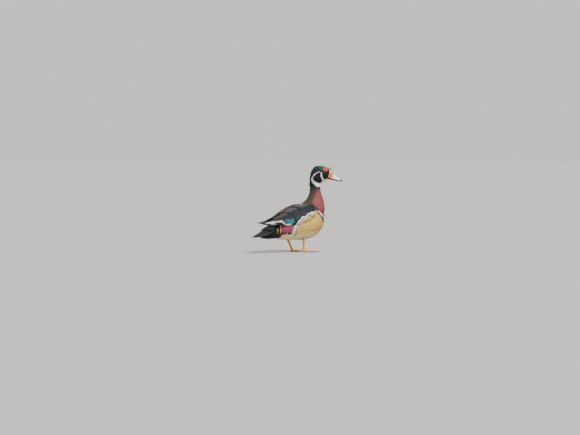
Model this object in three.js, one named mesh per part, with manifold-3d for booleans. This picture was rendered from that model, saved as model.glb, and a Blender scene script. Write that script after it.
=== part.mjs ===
// Wood duck drake, a still life-size model that stands with its head turned to its right.
// Millimetres: +X is the way the body faces, +Y its left, +Z up. The ground is z = 0.
import * as THREE from 'three';
import { mergeVertices } from 'three/addons/utils/BufferGeometryUtils.js';
import Module from 'manifold-3d';

const wasm = await Module();
wasm.setup();

const GAP = 0.3;
const DEG = Math.PI / 180;

// Torso: half sizes at equal angular steps from the rump to the breast.
const TORSO = {
  rear: -108, front: 94, blunt: 1,
  level: [70, 66, 74, 82, 97, 100],
  high: [44, 46, 43.5, 49, 54, 49],
  deep: [36, 42, 41.5, 49, 66, 56],
  wide: [36, 42, 54, 60, 57, 50],
};

// Neck: stations up its height, each with its centre and half sizes.
const NECK = {
  height: [100, 120, 137, 150, 168, 182, 207],
  centre: [52, 57, 61, 68.5, 70, 69.5, 73],
  long: [38, 40, 37, 27, 18.5, 16.2, 14],
  wide: [33, 34, 29, 22.5, 17, 15.8, 13.5],
};
const NECK_CUT = 182;

// Head, in its own frame: it turns about the upright line through the top of the neck.
const HEAD_TURN = -40 * DEG;
const HEAD_PIVOT = new THREE.Vector3(69.5, 0, 0);
const HEAD = {
  rear: -13, front: 42.5, blunt: 0.7,
  level: [208, 212, 219, 223, 223, 224],
  high: [22, 23, 24.5, 24.9, 24.6, 22],
  deep: [24, 24.6, 30, 26, 25, 20],
  wide: [17, 18.8, 18.1, 18.1, 16.7, 15],
};

// Eye: its centre ahead, to the side and up, the ring of bare lids round it, and how that ring leans.
const EYE = {
  ahead: 28.1, side: 10.4, height: 233.1, radius: 6,
  ring: { radius: 5.7, lid: 1, longer: 1.12, lower: 0.9, out: 3.6, tilt: 27 * DEG, yaw: 20 * DEG },
};

// Bill, along the line of the mouth from its corner to the tip.
const BILL = {
  corner: [42.6, 210.5], pitch: -15.4 * DEG,
  along: [-12, -5, 0, 8, 17, 24, 31, 34.5, 36],
  ridge: [25.5, 23.5, 21, 15, 10, 7.3, 4.9, 3.2, 1],
  half: [9, 9, 9, 8.2, 7.4, 7, 5.8, 3.8, 1.6],
  jaw: [5, 4.6, 4.2, 3.6, 3, 2.6, 1.9, 1.2, 0.6],
  jawNarrower: 0.86, jawShorter: 0.965, lipDepth: 0.6, ridgeNarrower: 0.25, ridgePower: 1.25,
  nostril: { along: 10, side: 5.4, above: 8, size: [3, 1.6, 1.2], tip: 8 * DEG },
};

// The surface that the folded wings' feathers lie on, in upright sections along the back.
const MANTLE = {
  rear: -172, front: 62,
  half: [13, 19, 25, 35, 45.5, 54, 57.5, 55, 43],
  top: [86, 88.5, 92, 101, 115, 127, 134, 137, 136],
  level: [84, 83, 81.5, 83, 86, 88, 90, 93, 98],
};

// The wing's solid core, from the wrist back: its edges as angles round the body, and its depth.
const WING = {
  front: 50, coreRear: -112, coreTop: -1,
  highEdge: [22, 10, 7, 7, 14, 24],
  lowEdge: [44, 58, 76, 98, 99, 82],
  depth: [6, 7, 7, 6, 4, 2],
};

// Rows of feathers of a folded wing, lowest row first: the first and last feather's root and tip.
const WING_TIERS = {
  primaries: {
    count: 4, width: 12.5, thick: 0.9, tilt: 0.5,
    from: { root: { x: -66, round: 97, lift: -1.5 }, tip: { x: -146, round: 62, lift: -0.6 } },
    to: { root: { x: -70, round: 74, lift: -1.5 }, tip: { x: -119, round: 40, lift: 0.6 } },
  },
  secondaries: {
    count: 4, width: 15, thick: 1, tilt: 0.6,
    from: { root: { x: -36, round: 90, lift: -2 }, tip: { x: -90, round: 95, lift: -0.2 } },
    to: { root: { x: -34, round: 60, lift: -2 }, tip: { x: -98, round: 62, lift: 0.6 } },
  },
  tertials: {
    count: 3, width: 19, thick: 1.1, tilt: 0.8,
    from: { root: { x: -14, round: 60, lift: -2 }, tip: { x: -90, round: 56, lift: 1.2 } },
    to: { root: { x: -12, round: 26, lift: -2 }, tip: { x: -112, round: 28, lift: 2.4 } },
  },
  greaterCoverts: {
    count: 4, width: 15.5, thick: 1, tilt: 0.6,
    from: { root: { x: -14, round: 76, lift: -2 }, tip: { x: -56, round: 91, lift: 0.7 } },
    to: { root: { x: -6, round: 48, lift: -2 }, tip: { x: -56, round: 52, lift: 1.6 } },
  },
  lesserCoverts: {
    count: 3, width: 16, thick: 1, tilt: 0.6,
    from: { root: { x: 34, round: 50, lift: -2 }, tip: { x: -14, round: 66, lift: 1.2 } },
    to: { root: { x: 42, round: 34, lift: -2 }, tip: { x: -8, round: 42, lift: 2.2 } },
  },
  scapulars: {
    count: 3, width: 20, thick: 1.1, tilt: 0.8,
    from: { root: { x: 26, round: 48, lift: -2 }, tip: { x: -44, round: 44, lift: 2.6 } },
    to: { root: { x: 22, round: 12, lift: -2 }, tip: { x: -70, round: 12, lift: 2.4 } },
  },
};

// Tail: its root above the rump, its feathers' fan, and the wedge of short feathers that carries it.
const TAIL = {
  root: [-82, 88], pitch: -24 * DEG, length: 108, shorter: 34, shortening: 1.7, pairs: 5,
  fan: 11 * DEG, layer: 1.7, rootWide: 7, roof: 0.3, width: 15.5, thick: 0.9,
  coreFront: -86, coreRear: -160,
  coreTop: [86, 79, 71, 62, 52],
  coreLow: [42, 38.5, 38, 39.5, 47],
  coreWide: [24, 22, 20, 16, 6],
};

// Feathers over and under the tail's root: how far each row sinks at its sides and at its tips.
const TAIL_COVERTS = {
  start: -6, thick: 1.1,
  rows: [
    { count: 5, fan: 16, length: 62, shorter: 14, drop: -2.6, roof: 8, width: 16, dip: 1 },
    { count: 5, fan: 20, length: 38, shorter: 8, drop: -4.4, roof: 9, width: 15, dip: 2 },
    { count: 5, fan: 10, length: 70, shorter: 12, drop: 29, roof: -7, width: 14, dip: -10 },
  ],
};

// Crest: a curve down the back of the head, the line inside it that it swings round, and its locks.
const CREST = {
  backX: [12, -1, -9.5, -13.6, -15.4, -16.6],
  backZ: [246, 240.5, 228.5, 214, 199, 184],
  coreX: [10, 8, 6, 3, 1, 0],
  coreZ: [226, 222, 216, 208, 196, 183],
  wide: [15, 17.5, 18.8, 18, 16.4, 14.5],
  thick: 1.5, sunk: -1.2, uneven: 0.02, outline: [0.75, 1, 0.6, 0.12],
  rows: [
    { count: 4, spread: 50, start: 0.3, end: 1.0, ragged: 0.12, width: 11, lift: 0 },
    { count: 4, spread: 52, start: 0.14, end: 0.84, ragged: 0.1, width: 10.5, lift: 0.8 },
    { count: 3, spread: 30, start: 0.02, end: 0.62, ragged: 0.06, width: 10, lift: 1.5 },
  ],
};

// Legs: knee inside the body, heel, and the joint above the toes; turn is the way the foot points.
// The thigh, the shank and its upper end are tubes with a radius at each of their shares.
const LEGS = {
  footTop: 8, knuckle: 3.9,
  thigh: { shares: [0, 0.35, 0.7, 0.95], radii: [17, 13, 7.5, 4.6] },
  drumstick: { shares: [0.8, 1.02], radii: [3.4, 3.6] },
  shank: { shares: [-0.06, 0.12, 0.5, 1], radii: [3.5, 3.4, 2.8, 3] },
  right: { side: -1, knee: [18, -30, 66], heel: [-5, -28, 38], ankle: [-4, -27, 7], turn: -8 },
  left: { side: 1, knee: [14, 32, 66], heel: [-12, 29, 36], ankle: [2, 27, 7], turn: 6 },
};

// Foot: each toe's lean from the middle one, outward positive, and its length with the claw.
const FOOT = {
  toes: [[-24, 38], [0, 49], [23, 46]], hind: 13, base: [1, 0, 3.2],
  webTop: 1.5, webReach: 0.84, webHollow: 0.16,
  toe: { shares: [0, 0.3, 0.62, 0.86], radii: [3.2, 2.7, 2.2, 1.8], height: [2.5, 1.2] },
  claw: { shares: [0.8, 0.9, 1], radii: [1.3, 1.1, 0.35], height: [4.2, 0.9] },
  hindToe: { shares: [0, 0.6, 1], radii: [1.8, 1.5, 0.6], height: [4.2, 1.6] },
  stem: [3.1, 3.6],
};

// Points and facets of each form.
const FINE = {
  torso: [16, 32], neck: [11, 24], head: [13, 24], eye: [12, 9], bill: [11, 14], tail: [7, 14],
};
const BIG = 400;

// Value of an evenly spaced list at t from 0 to 1, on a smooth curve through its entries.
function smooth(list, t) {
  const last = list.length - 1;
  const at = Math.min(Math.max(t, 0), 1) * last;
  const i = Math.min(Math.floor(at), last - 1);
  const f = at - i;
  const b = list[i];
  const c = list[i + 1];
  const a = i > 0 ? list[i - 1] : 2 * b - c;
  const d = i + 2 <= last ? list[i + 2] : 2 * c - b;
  const square = (2 * a - 5 * b + 4 * c - d) * f * f;
  const cube = (3 * b - a - 3 * c + d) * f * f * f;
  return 0.5 * (2 * b + (c - a) * f + square + cube);
}

const mix = (a, b, t) => a + (b - a) * t;
const clamp = (value, low, high) => Math.max(low, Math.min(high, value));

// Closed geometry from rings of points, each end closed by a fan round its middle.
function ringSolid(rings) {
  const around = rings[0].length;
  const points = rings.flat();
  const faces = [];
  for (let r = 0; r + 1 < rings.length; r++) {
    for (let k = 0; k < around; k++) {
      const a = r * around + k;
      const b = r * around + (k + 1) % around;
      faces.push(a, b, b + around, a, b + around, a + around);
    }
  }
  for (const [r, flip] of [[0, true], [rings.length - 1, false]]) {
    const middle = points.length;
    points.push(rings[r].reduce((sum, p) => sum.add(p), new THREE.Vector3()).divideScalar(around));
    for (let k = 0; k < around; k++) {
      const a = r * around + k;
      const b = r * around + (k + 1) % around;
      faces.push(middle, flip ? b : a, flip ? a : b);
    }
  }
  return solidGeometry(points, faces);
}

function solidGeometry(points, faces) {
  const geometry = new THREE.BufferGeometry().setFromPoints(points);
  geometry.setIndex(faces);
  return mergeVertices(geometry, 1e-4);
}

// Closed geometry between two grids of points alike, an upper and a lower one.
function plateSolid(upper, lower) {
  const rows = upper.length;
  const columns = upper[0].length;
  const points = [...upper.flat(), ...lower.flat()];
  const under = rows * columns;
  const id = (r, c) => r * columns + c;
  const faces = [];
  for (let r = 0; r + 1 < rows; r++) {
    for (let c = 0; c + 1 < columns; c++) {
      const [p, q, s, t] = [id(r, c), id(r + 1, c), id(r + 1, c + 1), id(r, c + 1)];
      faces.push(p, q, s, p, s, t);
      faces.push(under + p, under + s, under + q, under + p, under + t, under + s);
    }
  }
  const rim = [];
  for (let c = 0; c < columns; c++) rim.push(id(0, c));
  for (let r = 1; r < rows; r++) rim.push(id(r, columns - 1));
  for (let c = columns - 2; c >= 0; c--) rim.push(id(rows - 1, c));
  for (let r = rows - 2; r > 0; r--) rim.push(id(r, 0));
  rim.forEach((a, k) => {
    const b = rim[(k + 1) % rim.length];
    faces.push(a, b, under + b, a, under + b, under + a);
  });
  return solidGeometry(points, faces);
}

// A library shape with its positions alone, so that its seams can be merged.
const bare = (geometry) => geometry.deleteAttribute('normal').deleteAttribute('uv');

// A closed geometry as a solid, turned the right way out where its faces look inward.
function toManifold(geometry) {
  const merged = mergeVertices(geometry, 1e-4);
  const faces = new Uint32Array(merged.index.array);
  const vertProperties = new Float32Array(merged.attributes.position.array);
  const solid = new wasm.Manifold(new wasm.Mesh({ numProp: 3, vertProperties, triVerts: faces }));
  if (solid.volume() > 0) return solid;
  return new wasm.Manifold(new wasm.Mesh({ numProp: 3, vertProperties, triVerts: faces.reverse() }));
}

function toGeometry(solid) {
  const mesh = solid.getMesh();
  const geometry = new THREE.BufferGeometry();
  geometry.setAttribute('position', new THREE.BufferAttribute(new Float32Array(mesh.vertProperties), 3));
  geometry.setIndex(new THREE.BufferAttribute(new Uint32Array(mesh.triVerts), 1));
  return geometry;
}

// All pieces as one body, which keeps only its largest closed surface.
function fuse(pieces) {
  const solids = pieces.map((piece) => (piece.isBufferGeometry ? toManifold(piece) : piece));
  return largest(solids.reduce((sum, next) => sum.add(next)));
}

function largest(solid) {
  return solid.decompose().reduce((best, next) => (next.volume() > best.volume() ? next : best));
}

// A rounded body along X: t runs from its rear to its front, turn round its section from its left side up.
function eggPoint(shape, t, turn, grow = 0) {
  const angle = t * Math.PI;
  const share = Math.pow(Math.max(Math.sin(angle), 0), shape.blunt);
  const side = Math.cos(turn);
  const rise = Math.sin(turn);
  const tall = smooth(rise > 0 ? shape.high : shape.deep, t) * share + grow;
  const middle = (shape.rear + shape.front) / 2;
  const half = (shape.front - shape.rear) / 2 + grow;
  return new THREE.Vector3(
    middle - half * Math.cos(angle),
    (smooth(shape.wide, t) * share + grow) * side,
    smooth(shape.level, t) + tall * rise,
  );
}

function eggSolid(shape, [steps, around], grow = 0) {
  const turn = (k) => 2 * Math.PI * k / around;
  const ring = (t) => Array.from({ length: around }, (_, k) => eggPoint(shape, t, turn(k), grow));
  return ringSolid(Array.from({ length: steps - 1 }, (_, r) => ring((r + 1) / steps)));
}

function neckSolid(grow = 0) {
  const [steps, around] = FINE.neck;
  const rings = [];
  for (let r = 0; r <= steps; r++) {
    const t = r / steps;
    rings.push(Array.from({ length: around }, (_, k) => {
      const turn = 2 * Math.PI * k / around;
      return new THREE.Vector3(
        smooth(NECK.centre, t) + (smooth(NECK.long, t) + grow) * Math.cos(turn),
        (smooth(NECK.wide, t) + grow) * Math.sin(turn),
        smooth(NECK.height, t),
      );
    }));
  }
  return ringSolid(rings);
}

// Carries a point or a geometry from the head's frame to the bird's.
const HEAD_PLACE = new THREE.Matrix4().makeRotationZ(HEAD_TURN).setPosition(HEAD_PIVOT);
const inHead = (geometry) => geometry.applyMatrix4(HEAD_PLACE);

const headSolid = (grow = 0) => inHead(eggSolid(HEAD, FINE.head, grow));

function billPoint(along, side, above) {
  const c = Math.cos(BILL.pitch);
  const s = Math.sin(BILL.pitch);
  const [x, z] = BILL.corner;
  return new THREE.Vector3(x + along * c - above * s, side, z + along * s + above * c);
}

// Upper half of the bill: a ridge that falls to a flat underside. Lower half: a shallow trough shape.
function billSolid(upper) {
  const rings = [];
  const [steps, around] = FINE.bill;
  for (let r = 0; r <= steps; r++) {
    const t = r / steps;
    const along = smooth(BILL.along, t);
    const half = smooth(BILL.half, t);
    const tall = smooth(upper ? BILL.ridge : BILL.jaw, t);
    rings.push(Array.from({ length: around }, (_, k) => {
      const turn = 2 * Math.PI * k / around;
      const side = half * Math.cos(turn);
      const rise = Math.max(Math.sin(turn), 0);
      const fall = Math.min(Math.sin(turn), 0);
      if (upper) {
        const above = tall * Math.pow(rise, BILL.ridgePower) + BILL.lipDepth * fall;
        return billPoint(along, side * (1 - BILL.ridgeNarrower * rise), above);
      }
      return billPoint(along * BILL.jawShorter, side * BILL.jawNarrower, tall * fall - BILL.lipDepth - GAP);
    }));
  }
  return inHead(ringSolid(rings));
}

// The hollow of a nostril, a short slot low on the side of the ridge.
function nostril(side) {
  const { along, side: out, above, size, tip } = BILL.nostril;
  const hollow = bare(new THREE.SphereGeometry(1, 8, 5));
  hollow.scale(...size);
  hollow.rotateY(tip - BILL.pitch);
  const place = billPoint(along, side * out, above);
  return inHead(hollow.translate(place.x, place.y, place.z));
}

// A point on the feather surface of the back and sides: round 0 is the midline above, 90 degrees the side.
function mantlePoint(x, round, side) {
  const t = (x - MANTLE.rear) / (MANTLE.front - MANTLE.rear);
  const half = smooth(MANTLE.half, t);
  const level = smooth(MANTLE.level, t);
  const tall = smooth(MANTLE.top, t) - level;
  return new THREE.Vector3(x, side * half * Math.sin(round), level + tall * Math.cos(round));
}

function mantleNormal(x, round, side) {
  const step = 0.02;
  const along = mantlePoint(x + 1, round, side).sub(mantlePoint(x - 1, round, side));
  const across = mantlePoint(x, round + step, side).sub(mantlePoint(x, round - step, side));
  return along.cross(across).multiplyScalar(side).normalize();
}

// One feather vane: a tapered plate along a path, which gives its point and outward direction at t.
// tilt raises one of its edges and sinks the other, so that neighbours lie like shingles.
function vane({ path, width, thick = 1, tilt = 0, outline = [0.7, 1, 0.92, 0.3] }) {
  const upper = [];
  const lower = [];
  const last = outline.length - 1;
  outline.forEach((share, r) => {
    const t = r / last;
    const { point, out } = path(t);
    const ahead = path(Math.min(t + 0.02, 1)).point.sub(path(Math.max(t - 0.02, 0)).point).normalize();
    const across = out.clone().cross(ahead).normalize();
    const lift = ahead.clone().cross(across).normalize();
    const edge = (v) => point.clone().addScaledVector(across, v * width * share / 2)
      .addScaledVector(lift, v * tilt * share);
    const half = thick * (r === last ? 0.3 : 0.5);
    upper.push([-1, 1].map((v) => edge(v).addScaledVector(lift, half)));
    lower.push([-1, 1].map((v) => edge(v).addScaledVector(lift, -half)));
  });
  return plateSolid(upper, lower);
}

// A path over the mantle from a root to a tip, each with its x, its angle round the body and its lift.
function mantlePath(side, root, tip) {
  return (t) => {
    const x = mix(root.x, tip.x, t);
    const round = mix(root.round, tip.round, t) * DEG;
    const out = mantleNormal(x, round, side);
    const lift = mix(root.lift, tip.lift, Math.min(1, t * 1.6));
    return { point: mantlePoint(x, round, side).addScaledVector(out, lift), out };
  };
}

// The folded wing's solid core, under its feathers, from the wrist to past the secondaries.
function wingCore(side) {
  const upper = [];
  const lower = [];
  const rows = 8;
  const columns = 4;
  for (let r = 0; r <= rows; r++) {
    const t = r / rows;
    const x = mix(WING.front, WING.coreRear, t);
    const high = smooth(WING.highEdge, t) * DEG;
    const low = smooth(WING.lowEdge, t) * DEG;
    const depth = smooth(WING.depth, t);
    const top = [];
    const bottom = [];
    for (let c = 0; c <= columns; c++) {
      const round = mix(high, low, c / columns);
      const out = mantleNormal(x, round, side);
      const place = mantlePoint(x, round, side);
      top.push(place.clone().addScaledVector(out, WING.coreTop));
      bottom.push(place.clone().addScaledVector(out, WING.coreTop - depth));
    }
    upper.push(top);
    lower.push(bottom);
  }
  return plateSolid(upper, lower);
}

// One tier of a wing: feathers side by side, each from its root to its tip over the mantle.
function tier(side, { count, from, to, width, thick, tilt }) {
  const vanes = [];
  for (let k = 0; k < count; k++) {
    const f = k / (count - 1);
    const between = (key, a, b) => mix(a[key], b[key], f);
    const end = (a, b) => ({
      x: between('x', a, b), round: between('round', a, b), lift: between('lift', a, b),
    });
    const root = end(from.root, to.root);
    const tip = end(from.tip, to.tip);
    vanes.push(vane({ path: mantlePath(side, root, tip), width, thick, tilt: side * tilt }));
  }
  return vanes;
}

function wingSolid(side) {
  const feathers = Object.values(WING_TIERS).flatMap((row) => tier(side, row));
  return fuse([wingCore(side), ...feathers]).subtract(torsoClear).subtract(neckGrown);
}

// A feather of the tail: it leaves the rump at a slant to the side and lies lower the further out it is.
function tailFeather({ lean, drop, length, width, thick, start = 0, dip = 0 }) {
  const outward = Math.sin(lean) / Math.sin(TAIL.fan);
  const path = (t) => {
    const along = mix(start, length, t);
    const ahead = along * Math.cos(lean);
    const point = new THREE.Vector3(
      TAIL.root[0] - ahead * Math.cos(TAIL.pitch),
      along * Math.sin(lean) + TAIL.rootWide * clamp(outward, -1, 1),
      TAIL.root[1] + ahead * Math.sin(TAIL.pitch) - drop - dip * t * t,
    );
    const out = new THREE.Vector3(Math.sin(TAIL.pitch), TAIL.roof * outward, Math.cos(TAIL.pitch));
    return { point, out: out.normalize() };
  };
  return vane({ path, width, thick });
}

function tailSolid() {
  const pieces = [tailCore()];
  const { pairs, fan, layer, width, thick } = TAIL;
  for (let k = -pairs; k <= pairs; k++) {
    const length = TAIL.length - TAIL.shorter * Math.abs(k / pairs) ** TAIL.shortening;
    pieces.push(tailFeather({ lean: fan * k / pairs, drop: layer * Math.abs(k), length, width, thick }));
  }
  for (const row of TAIL_COVERTS.rows) {
    for (let k = 0; k < row.count; k++) {
      const f = 2 * k / (row.count - 1) - 1;
      pieces.push(tailFeather({
        ...row,
        lean: row.fan * DEG * f,
        drop: row.drop + row.roof * f * f,
        length: row.length - row.shorter * f * f,
        thick: TAIL_COVERTS.thick,
        start: TAIL_COVERTS.start,
      }));
    }
  }
  return fuse(pieces).subtract(torsoGrown);
}

// The wedge of short feathers above and below the tail's root, which carries the long ones.
function tailCore() {
  const rings = [];
  const [steps, around] = FINE.tail;
  for (let r = 0; r <= steps; r++) {
    const t = r / steps;
    const x = mix(TAIL.coreFront, TAIL.coreRear, t);
    const top = smooth(TAIL.coreTop, t);
    const low = smooth(TAIL.coreLow, t);
    const wide = smooth(TAIL.coreWide, t);
    rings.push(Array.from({ length: around }, (_, k) => {
      const turn = 2 * Math.PI * k / around;
      return new THREE.Vector3(x, -wide * Math.cos(turn), mix(low, top, 0.5 + 0.5 * Math.sin(turn)));
    }));
  }
  return ringSolid(rings);
}

// A point of the surface that the crest lies on: t runs from the crown down to the nape, lean round the head.
function crestPath(lean, start, end, lift) {
  return (t) => {
    const s = mix(start, end, t);
    const core = new THREE.Vector3(smooth(CREST.coreX, s), 0, smooth(CREST.coreZ, s));
    const out = new THREE.Vector3(smooth(CREST.backX, s), 0, smooth(CREST.backZ, s)).sub(core);
    out.multiplyScalar(Math.cos(lean)).setY(smooth(CREST.wide, s) * Math.sin(lean));
    const point = core.clone().add(out);
    out.normalize();
    return { point: point.addScaledVector(out, mix(CREST.sunk, lift, Math.min(1, 2.5 * t))), out };
  };
}

function crestLocks() {
  const locks = [];
  for (const row of CREST.rows) {
    for (let k = 0; k < row.count; k++) {
      const f = 2 * k / (row.count - 1) - 1;
      const end = row.end - row.ragged * f * f - CREST.uneven * (k % 2);
      const path = crestPath(row.spread * f * DEG, row.start, end, row.lift);
      locks.push(inHead(vane({ path, width: row.width, thick: CREST.thick, outline: CREST.outline })));
    }
  }
  return locks;
}

// The ring of bare lids round the eye, which lies along the slope of the face.
function eyeRing(side) {
  const { radius, lid, longer, lower, out, tilt, yaw } = EYE.ring;
  const ring = bare(new THREE.TorusGeometry(radius, lid, 5, 14));
  ring.scale(longer, lower, 1);
  ring.rotateX(Math.PI / 2 + side * tilt);
  ring.rotateZ(-side * yaw);
  ring.translate(EYE.ahead, side * (EYE.side + out), EYE.height);
  return inHead(ring);
}

function eyeBall(side, grow = 0) {
  const ball = bare(new THREE.SphereGeometry(EYE.radius + grow, ...FINE.eye));
  ball.translate(EYE.ahead, side * EYE.side, EYE.height);
  return inHead(ball);
}

// A tube with rings at the given centres, each with its radius, closed by fans.
function taperTube(centres, radii, around = 10) {
  const rings = centres.map((centre, i) => {
    const before = centres[Math.max(i - 1, 0)];
    const after = centres[Math.min(i + 1, centres.length - 1)];
    const ahead = after.clone().sub(before).normalize();
    const turn = new THREE.Quaternion().setFromUnitVectors(new THREE.Vector3(0, 0, 1), ahead);
    return Array.from({ length: around }, (_, k) => {
      const angle = 2 * Math.PI * k / around;
      const spoke = new THREE.Vector3(Math.cos(angle), Math.sin(angle), 0);
      return spoke.multiplyScalar(radii[i]).applyQuaternion(turn).add(centre);
    });
  });
  return ringSolid(rings);
}

// A tube between two places of a leg, with a radius at each of its shares of the way.
function limb(leg, from, to, { shares, radii }, around, grow = 0) {
  const [a, b] = [new THREE.Vector3(...leg[from]), new THREE.Vector3(...leg[to])];
  return taperTube(shares.map((t) => a.clone().lerp(b, t)), radii.map((r) => r + grow), around);
}

const thighSolid = (leg, grow = 0) => toManifold(limb(leg, 'knee', 'heel', LEGS.thigh, 16, grow));

function shankSolid(leg) {
  const knuckle = bare(new THREE.SphereGeometry(LEGS.knuckle, 10, 7)).translate(...leg.heel);
  const tubes = [limb(leg, 'knee', 'heel', LEGS.drumstick, 12), limb(leg, 'heel', 'ankle', LEGS.shank, 12)];
  return fuse([...tubes, knuckle]);
}

// Webbed foot: three toes in front with the web between them, and a small raised hind toe.
function footSolid(leg) {
  const ankle = new THREE.Vector3(...leg.ankle);
  const base = ankle.clone().setZ(0).add(new THREE.Vector3(...FOOT.base));
  const ray = (lean, length, z) => {
    const angle = (leg.turn + lean * leg.side) * DEG;
    return new THREE.Vector3(base.x + length * Math.cos(angle), base.y + length * Math.sin(angle), z);
  };
  const digit = (lean, length, { shares, radii, height }, around) =>
    taperTube(shares.map((t) => ray(lean, length * t, mix(...height, t))), radii, around);
  const pieces = [
    digit(180, FOOT.hind, FOOT.hindToe, 6),
    taperTube([ankle.clone().setZ(ankle.z + 0.5), base], FOOT.stem, 12),
  ];
  for (const [lean, length] of FOOT.toes) {
    pieces.push(digit(lean, length, FOOT.toe, 7), digit(lean, length, FOOT.claw, 5));
  }
  const tips = FOOT.toes.map(([lean, length]) => ray(lean, length * FOOT.webReach, 0));
  for (let k = 0; k + 1 < tips.length; k++) pieces.push(webSolid(base.clone().setZ(0), tips[k], tips[k + 1]));
  return fuse(pieces).subtract(slab(-BIG, 0));
}

// The web between two toes, a thin plate with its front edge drawn in.
function webSolid(heel, a, b) {
  const between = (p, q, t = 0.5) => p.clone().lerp(q, t);
  const scoop = between(between(a, b), heel, FOOT.webHollow);
  const grid = (z) => [
    [heel, between(heel, b), b],
    [between(heel, a), between(heel, scoop, 0.6), between(scoop, b)],
    [a, between(scoop, a), scoop],
  ].map((row) => row.map((p) => p.clone().setZ(z)));
  return plateSolid(grid(FOOT.webTop), grid(0));
}

// Everything between two heights, to cut with.
function slab(low, high) {
  const box = bare(new THREE.BoxGeometry(2 * BIG, 2 * BIG, high - low));
  return toManifold(box.translate(0, 0, (low + high) / 2));
}

const torsoSolid = toManifold(eggSolid(TORSO, FINE.torso));
const torsoGrown = toManifold(eggSolid(TORSO, FINE.torso, GAP));
const torsoClear = toManifold(eggSolid(TORSO, [12, 24], 4 * GAP));
const neckWhole = toManifold(neckSolid());
const neckGrown = toManifold(neckSolid(GAP));

const duck = new THREE.Group();

function show(name, solid, colour, roughness = 0.8) {
  const material = new THREE.MeshStandardMaterial({ color: colour, roughness, metalness: 0 });
  const mesh = new THREE.Mesh(toGeometry(largest(solid)), material);
  mesh.name = name;
  duck.add(mesh);
}

show('neck', neckWhole.subtract(torsoGrown).subtract(slab(NECK_CUT, BIG)), '#7a4a48');

let head = fuse([headSolid(), neckWhole, ...crestLocks(), eyeRing(1), eyeRing(-1)]);
head = head.subtract(slab(-BIG, NECK_CUT + GAP));
for (const side of [1, -1]) head = head.subtract(toManifold(eyeBall(side, GAP)));
show('head', head, '#101a14');

const face = toManifold(headSolid(GAP)).add(neckGrown);
let upperBill = toManifold(billSolid(true)).subtract(face);
for (const side of [1, -1]) upperBill = upperBill.subtract(toManifold(nostril(side)));
show('bill_upper', upperBill, '#e0562c', 0.4);
show('bill_lower', toManifold(billSolid(false)).subtract(face), '#181412', 0.4);
show('tail', tailSolid(), '#222426');

let torso = torsoSolid;
for (const [word, leg] of [['left', LEGS.left], ['right', LEGS.right]]) {
  show(`eye_${word}`, toManifold(eyeBall(leg.side)), '#c8301e', 0.2);
  show(`wing_${word}`, wingSolid(leg.side), '#1c2420');
  const shank = shankSolid(leg).subtract(slab(-BIG, LEGS.footTop + GAP));
  show(`leg_${word}`, shank.subtract(thighSolid(leg, GAP)).subtract(torsoGrown), '#c98a2c', 0.6);
  show(`foot_${word}`, footSolid(leg).subtract(slab(LEGS.footTop, BIG)), '#c98a2c', 0.6);
  torso = torso.add(thighSolid(leg));
}
show('torso', torso, '#c9a870');

const bounds = new THREE.Box3().setFromObject(duck);
duck.position.set(-(bounds.min.x + bounds.max.x) / 2, -(bounds.min.y + bounds.max.y) / 2, -bounds.min.z);

export default duck;
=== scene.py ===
import math

import bpy
import numpy as np
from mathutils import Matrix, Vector
from mathutils.bvhtree import BVHTree


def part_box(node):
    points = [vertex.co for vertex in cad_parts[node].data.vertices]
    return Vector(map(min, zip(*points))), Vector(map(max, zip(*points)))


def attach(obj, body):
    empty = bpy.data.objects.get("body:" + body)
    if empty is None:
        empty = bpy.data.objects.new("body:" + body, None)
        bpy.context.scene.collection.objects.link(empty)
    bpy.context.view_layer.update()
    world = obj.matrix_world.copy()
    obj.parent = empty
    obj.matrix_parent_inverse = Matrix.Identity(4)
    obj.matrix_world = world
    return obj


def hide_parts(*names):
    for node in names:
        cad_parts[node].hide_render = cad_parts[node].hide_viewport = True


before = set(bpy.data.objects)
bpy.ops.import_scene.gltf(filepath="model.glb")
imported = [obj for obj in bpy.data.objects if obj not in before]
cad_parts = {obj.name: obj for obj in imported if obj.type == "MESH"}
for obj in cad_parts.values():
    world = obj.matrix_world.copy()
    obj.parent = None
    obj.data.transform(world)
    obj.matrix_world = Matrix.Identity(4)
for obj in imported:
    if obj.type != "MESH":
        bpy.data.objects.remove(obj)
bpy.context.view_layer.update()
RANDOM = np.random.default_rng(7)
DEG = math.pi / 180
SIDES = {-1: "right", 1: "left"}

# Torso, neck and head: the same driving sizes as the solids have.
TORSO = {
    "rear": -108, "front": 94, "blunt": 1,
    "level": [70, 66, 74, 82, 97, 100],
    "high": [44, 46, 43.5, 49, 54, 49],
    "deep": [36, 42, 41.5, 49, 66, 56],
    "wide": [36, 42, 54, 60, 57, 50],
}
NECK = {
    "height": [100, 120, 137, 150, 168, 182, 207],
    "centre": [52, 57, 61, 68.5, 70, 69.5, 73],
    "long": [38, 40, 37, 27, 18.5, 16.2, 14],
    "wide": [33, 34, 29, 22.5, 17, 15.8, 13.5],
}
HEAD = {
    "rear": -13, "front": 42.5, "blunt": 0.7,
    "level": [208, 212, 219, 223, 223, 224],
    "high": [22, 23, 24.5, 24.9, 24.6, 22],
    "deep": [24, 24.6, 30, 26, 25, 20],
    "wide": [17, 18.8, 18.1, 18.1, 16.7, 15],
}
HEAD_TURN = -40 * DEG
HEAD_PIVOT = np.array([69.5, 0, 0])
EYE = {"ahead": 28.1, "side": 10.4, "height": 233.1, "radius": 6, "inset": 0.15,
       "yaw": 15 * DEG, "tilt": 19 * DEG}
BILL = {
    "corner": [42.6, 210.5], "pitch": -15.4 * DEG,
    "along": [-12, -5, 0, 8, 17, 24, 31, 34.5, 36],
    "ridge": [25.5, 23.5, 21, 15, 10, 7.3, 4.9, 3.2, 1],
    "half": [9, 9, 9, 8.2, 7.4, 7, 5.8, 3.8, 1.6],
    "jaw": [5, 4.6, 4.2, 3.6, 3, 2.6, 1.9, 1.2, 0.6],
}
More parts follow.
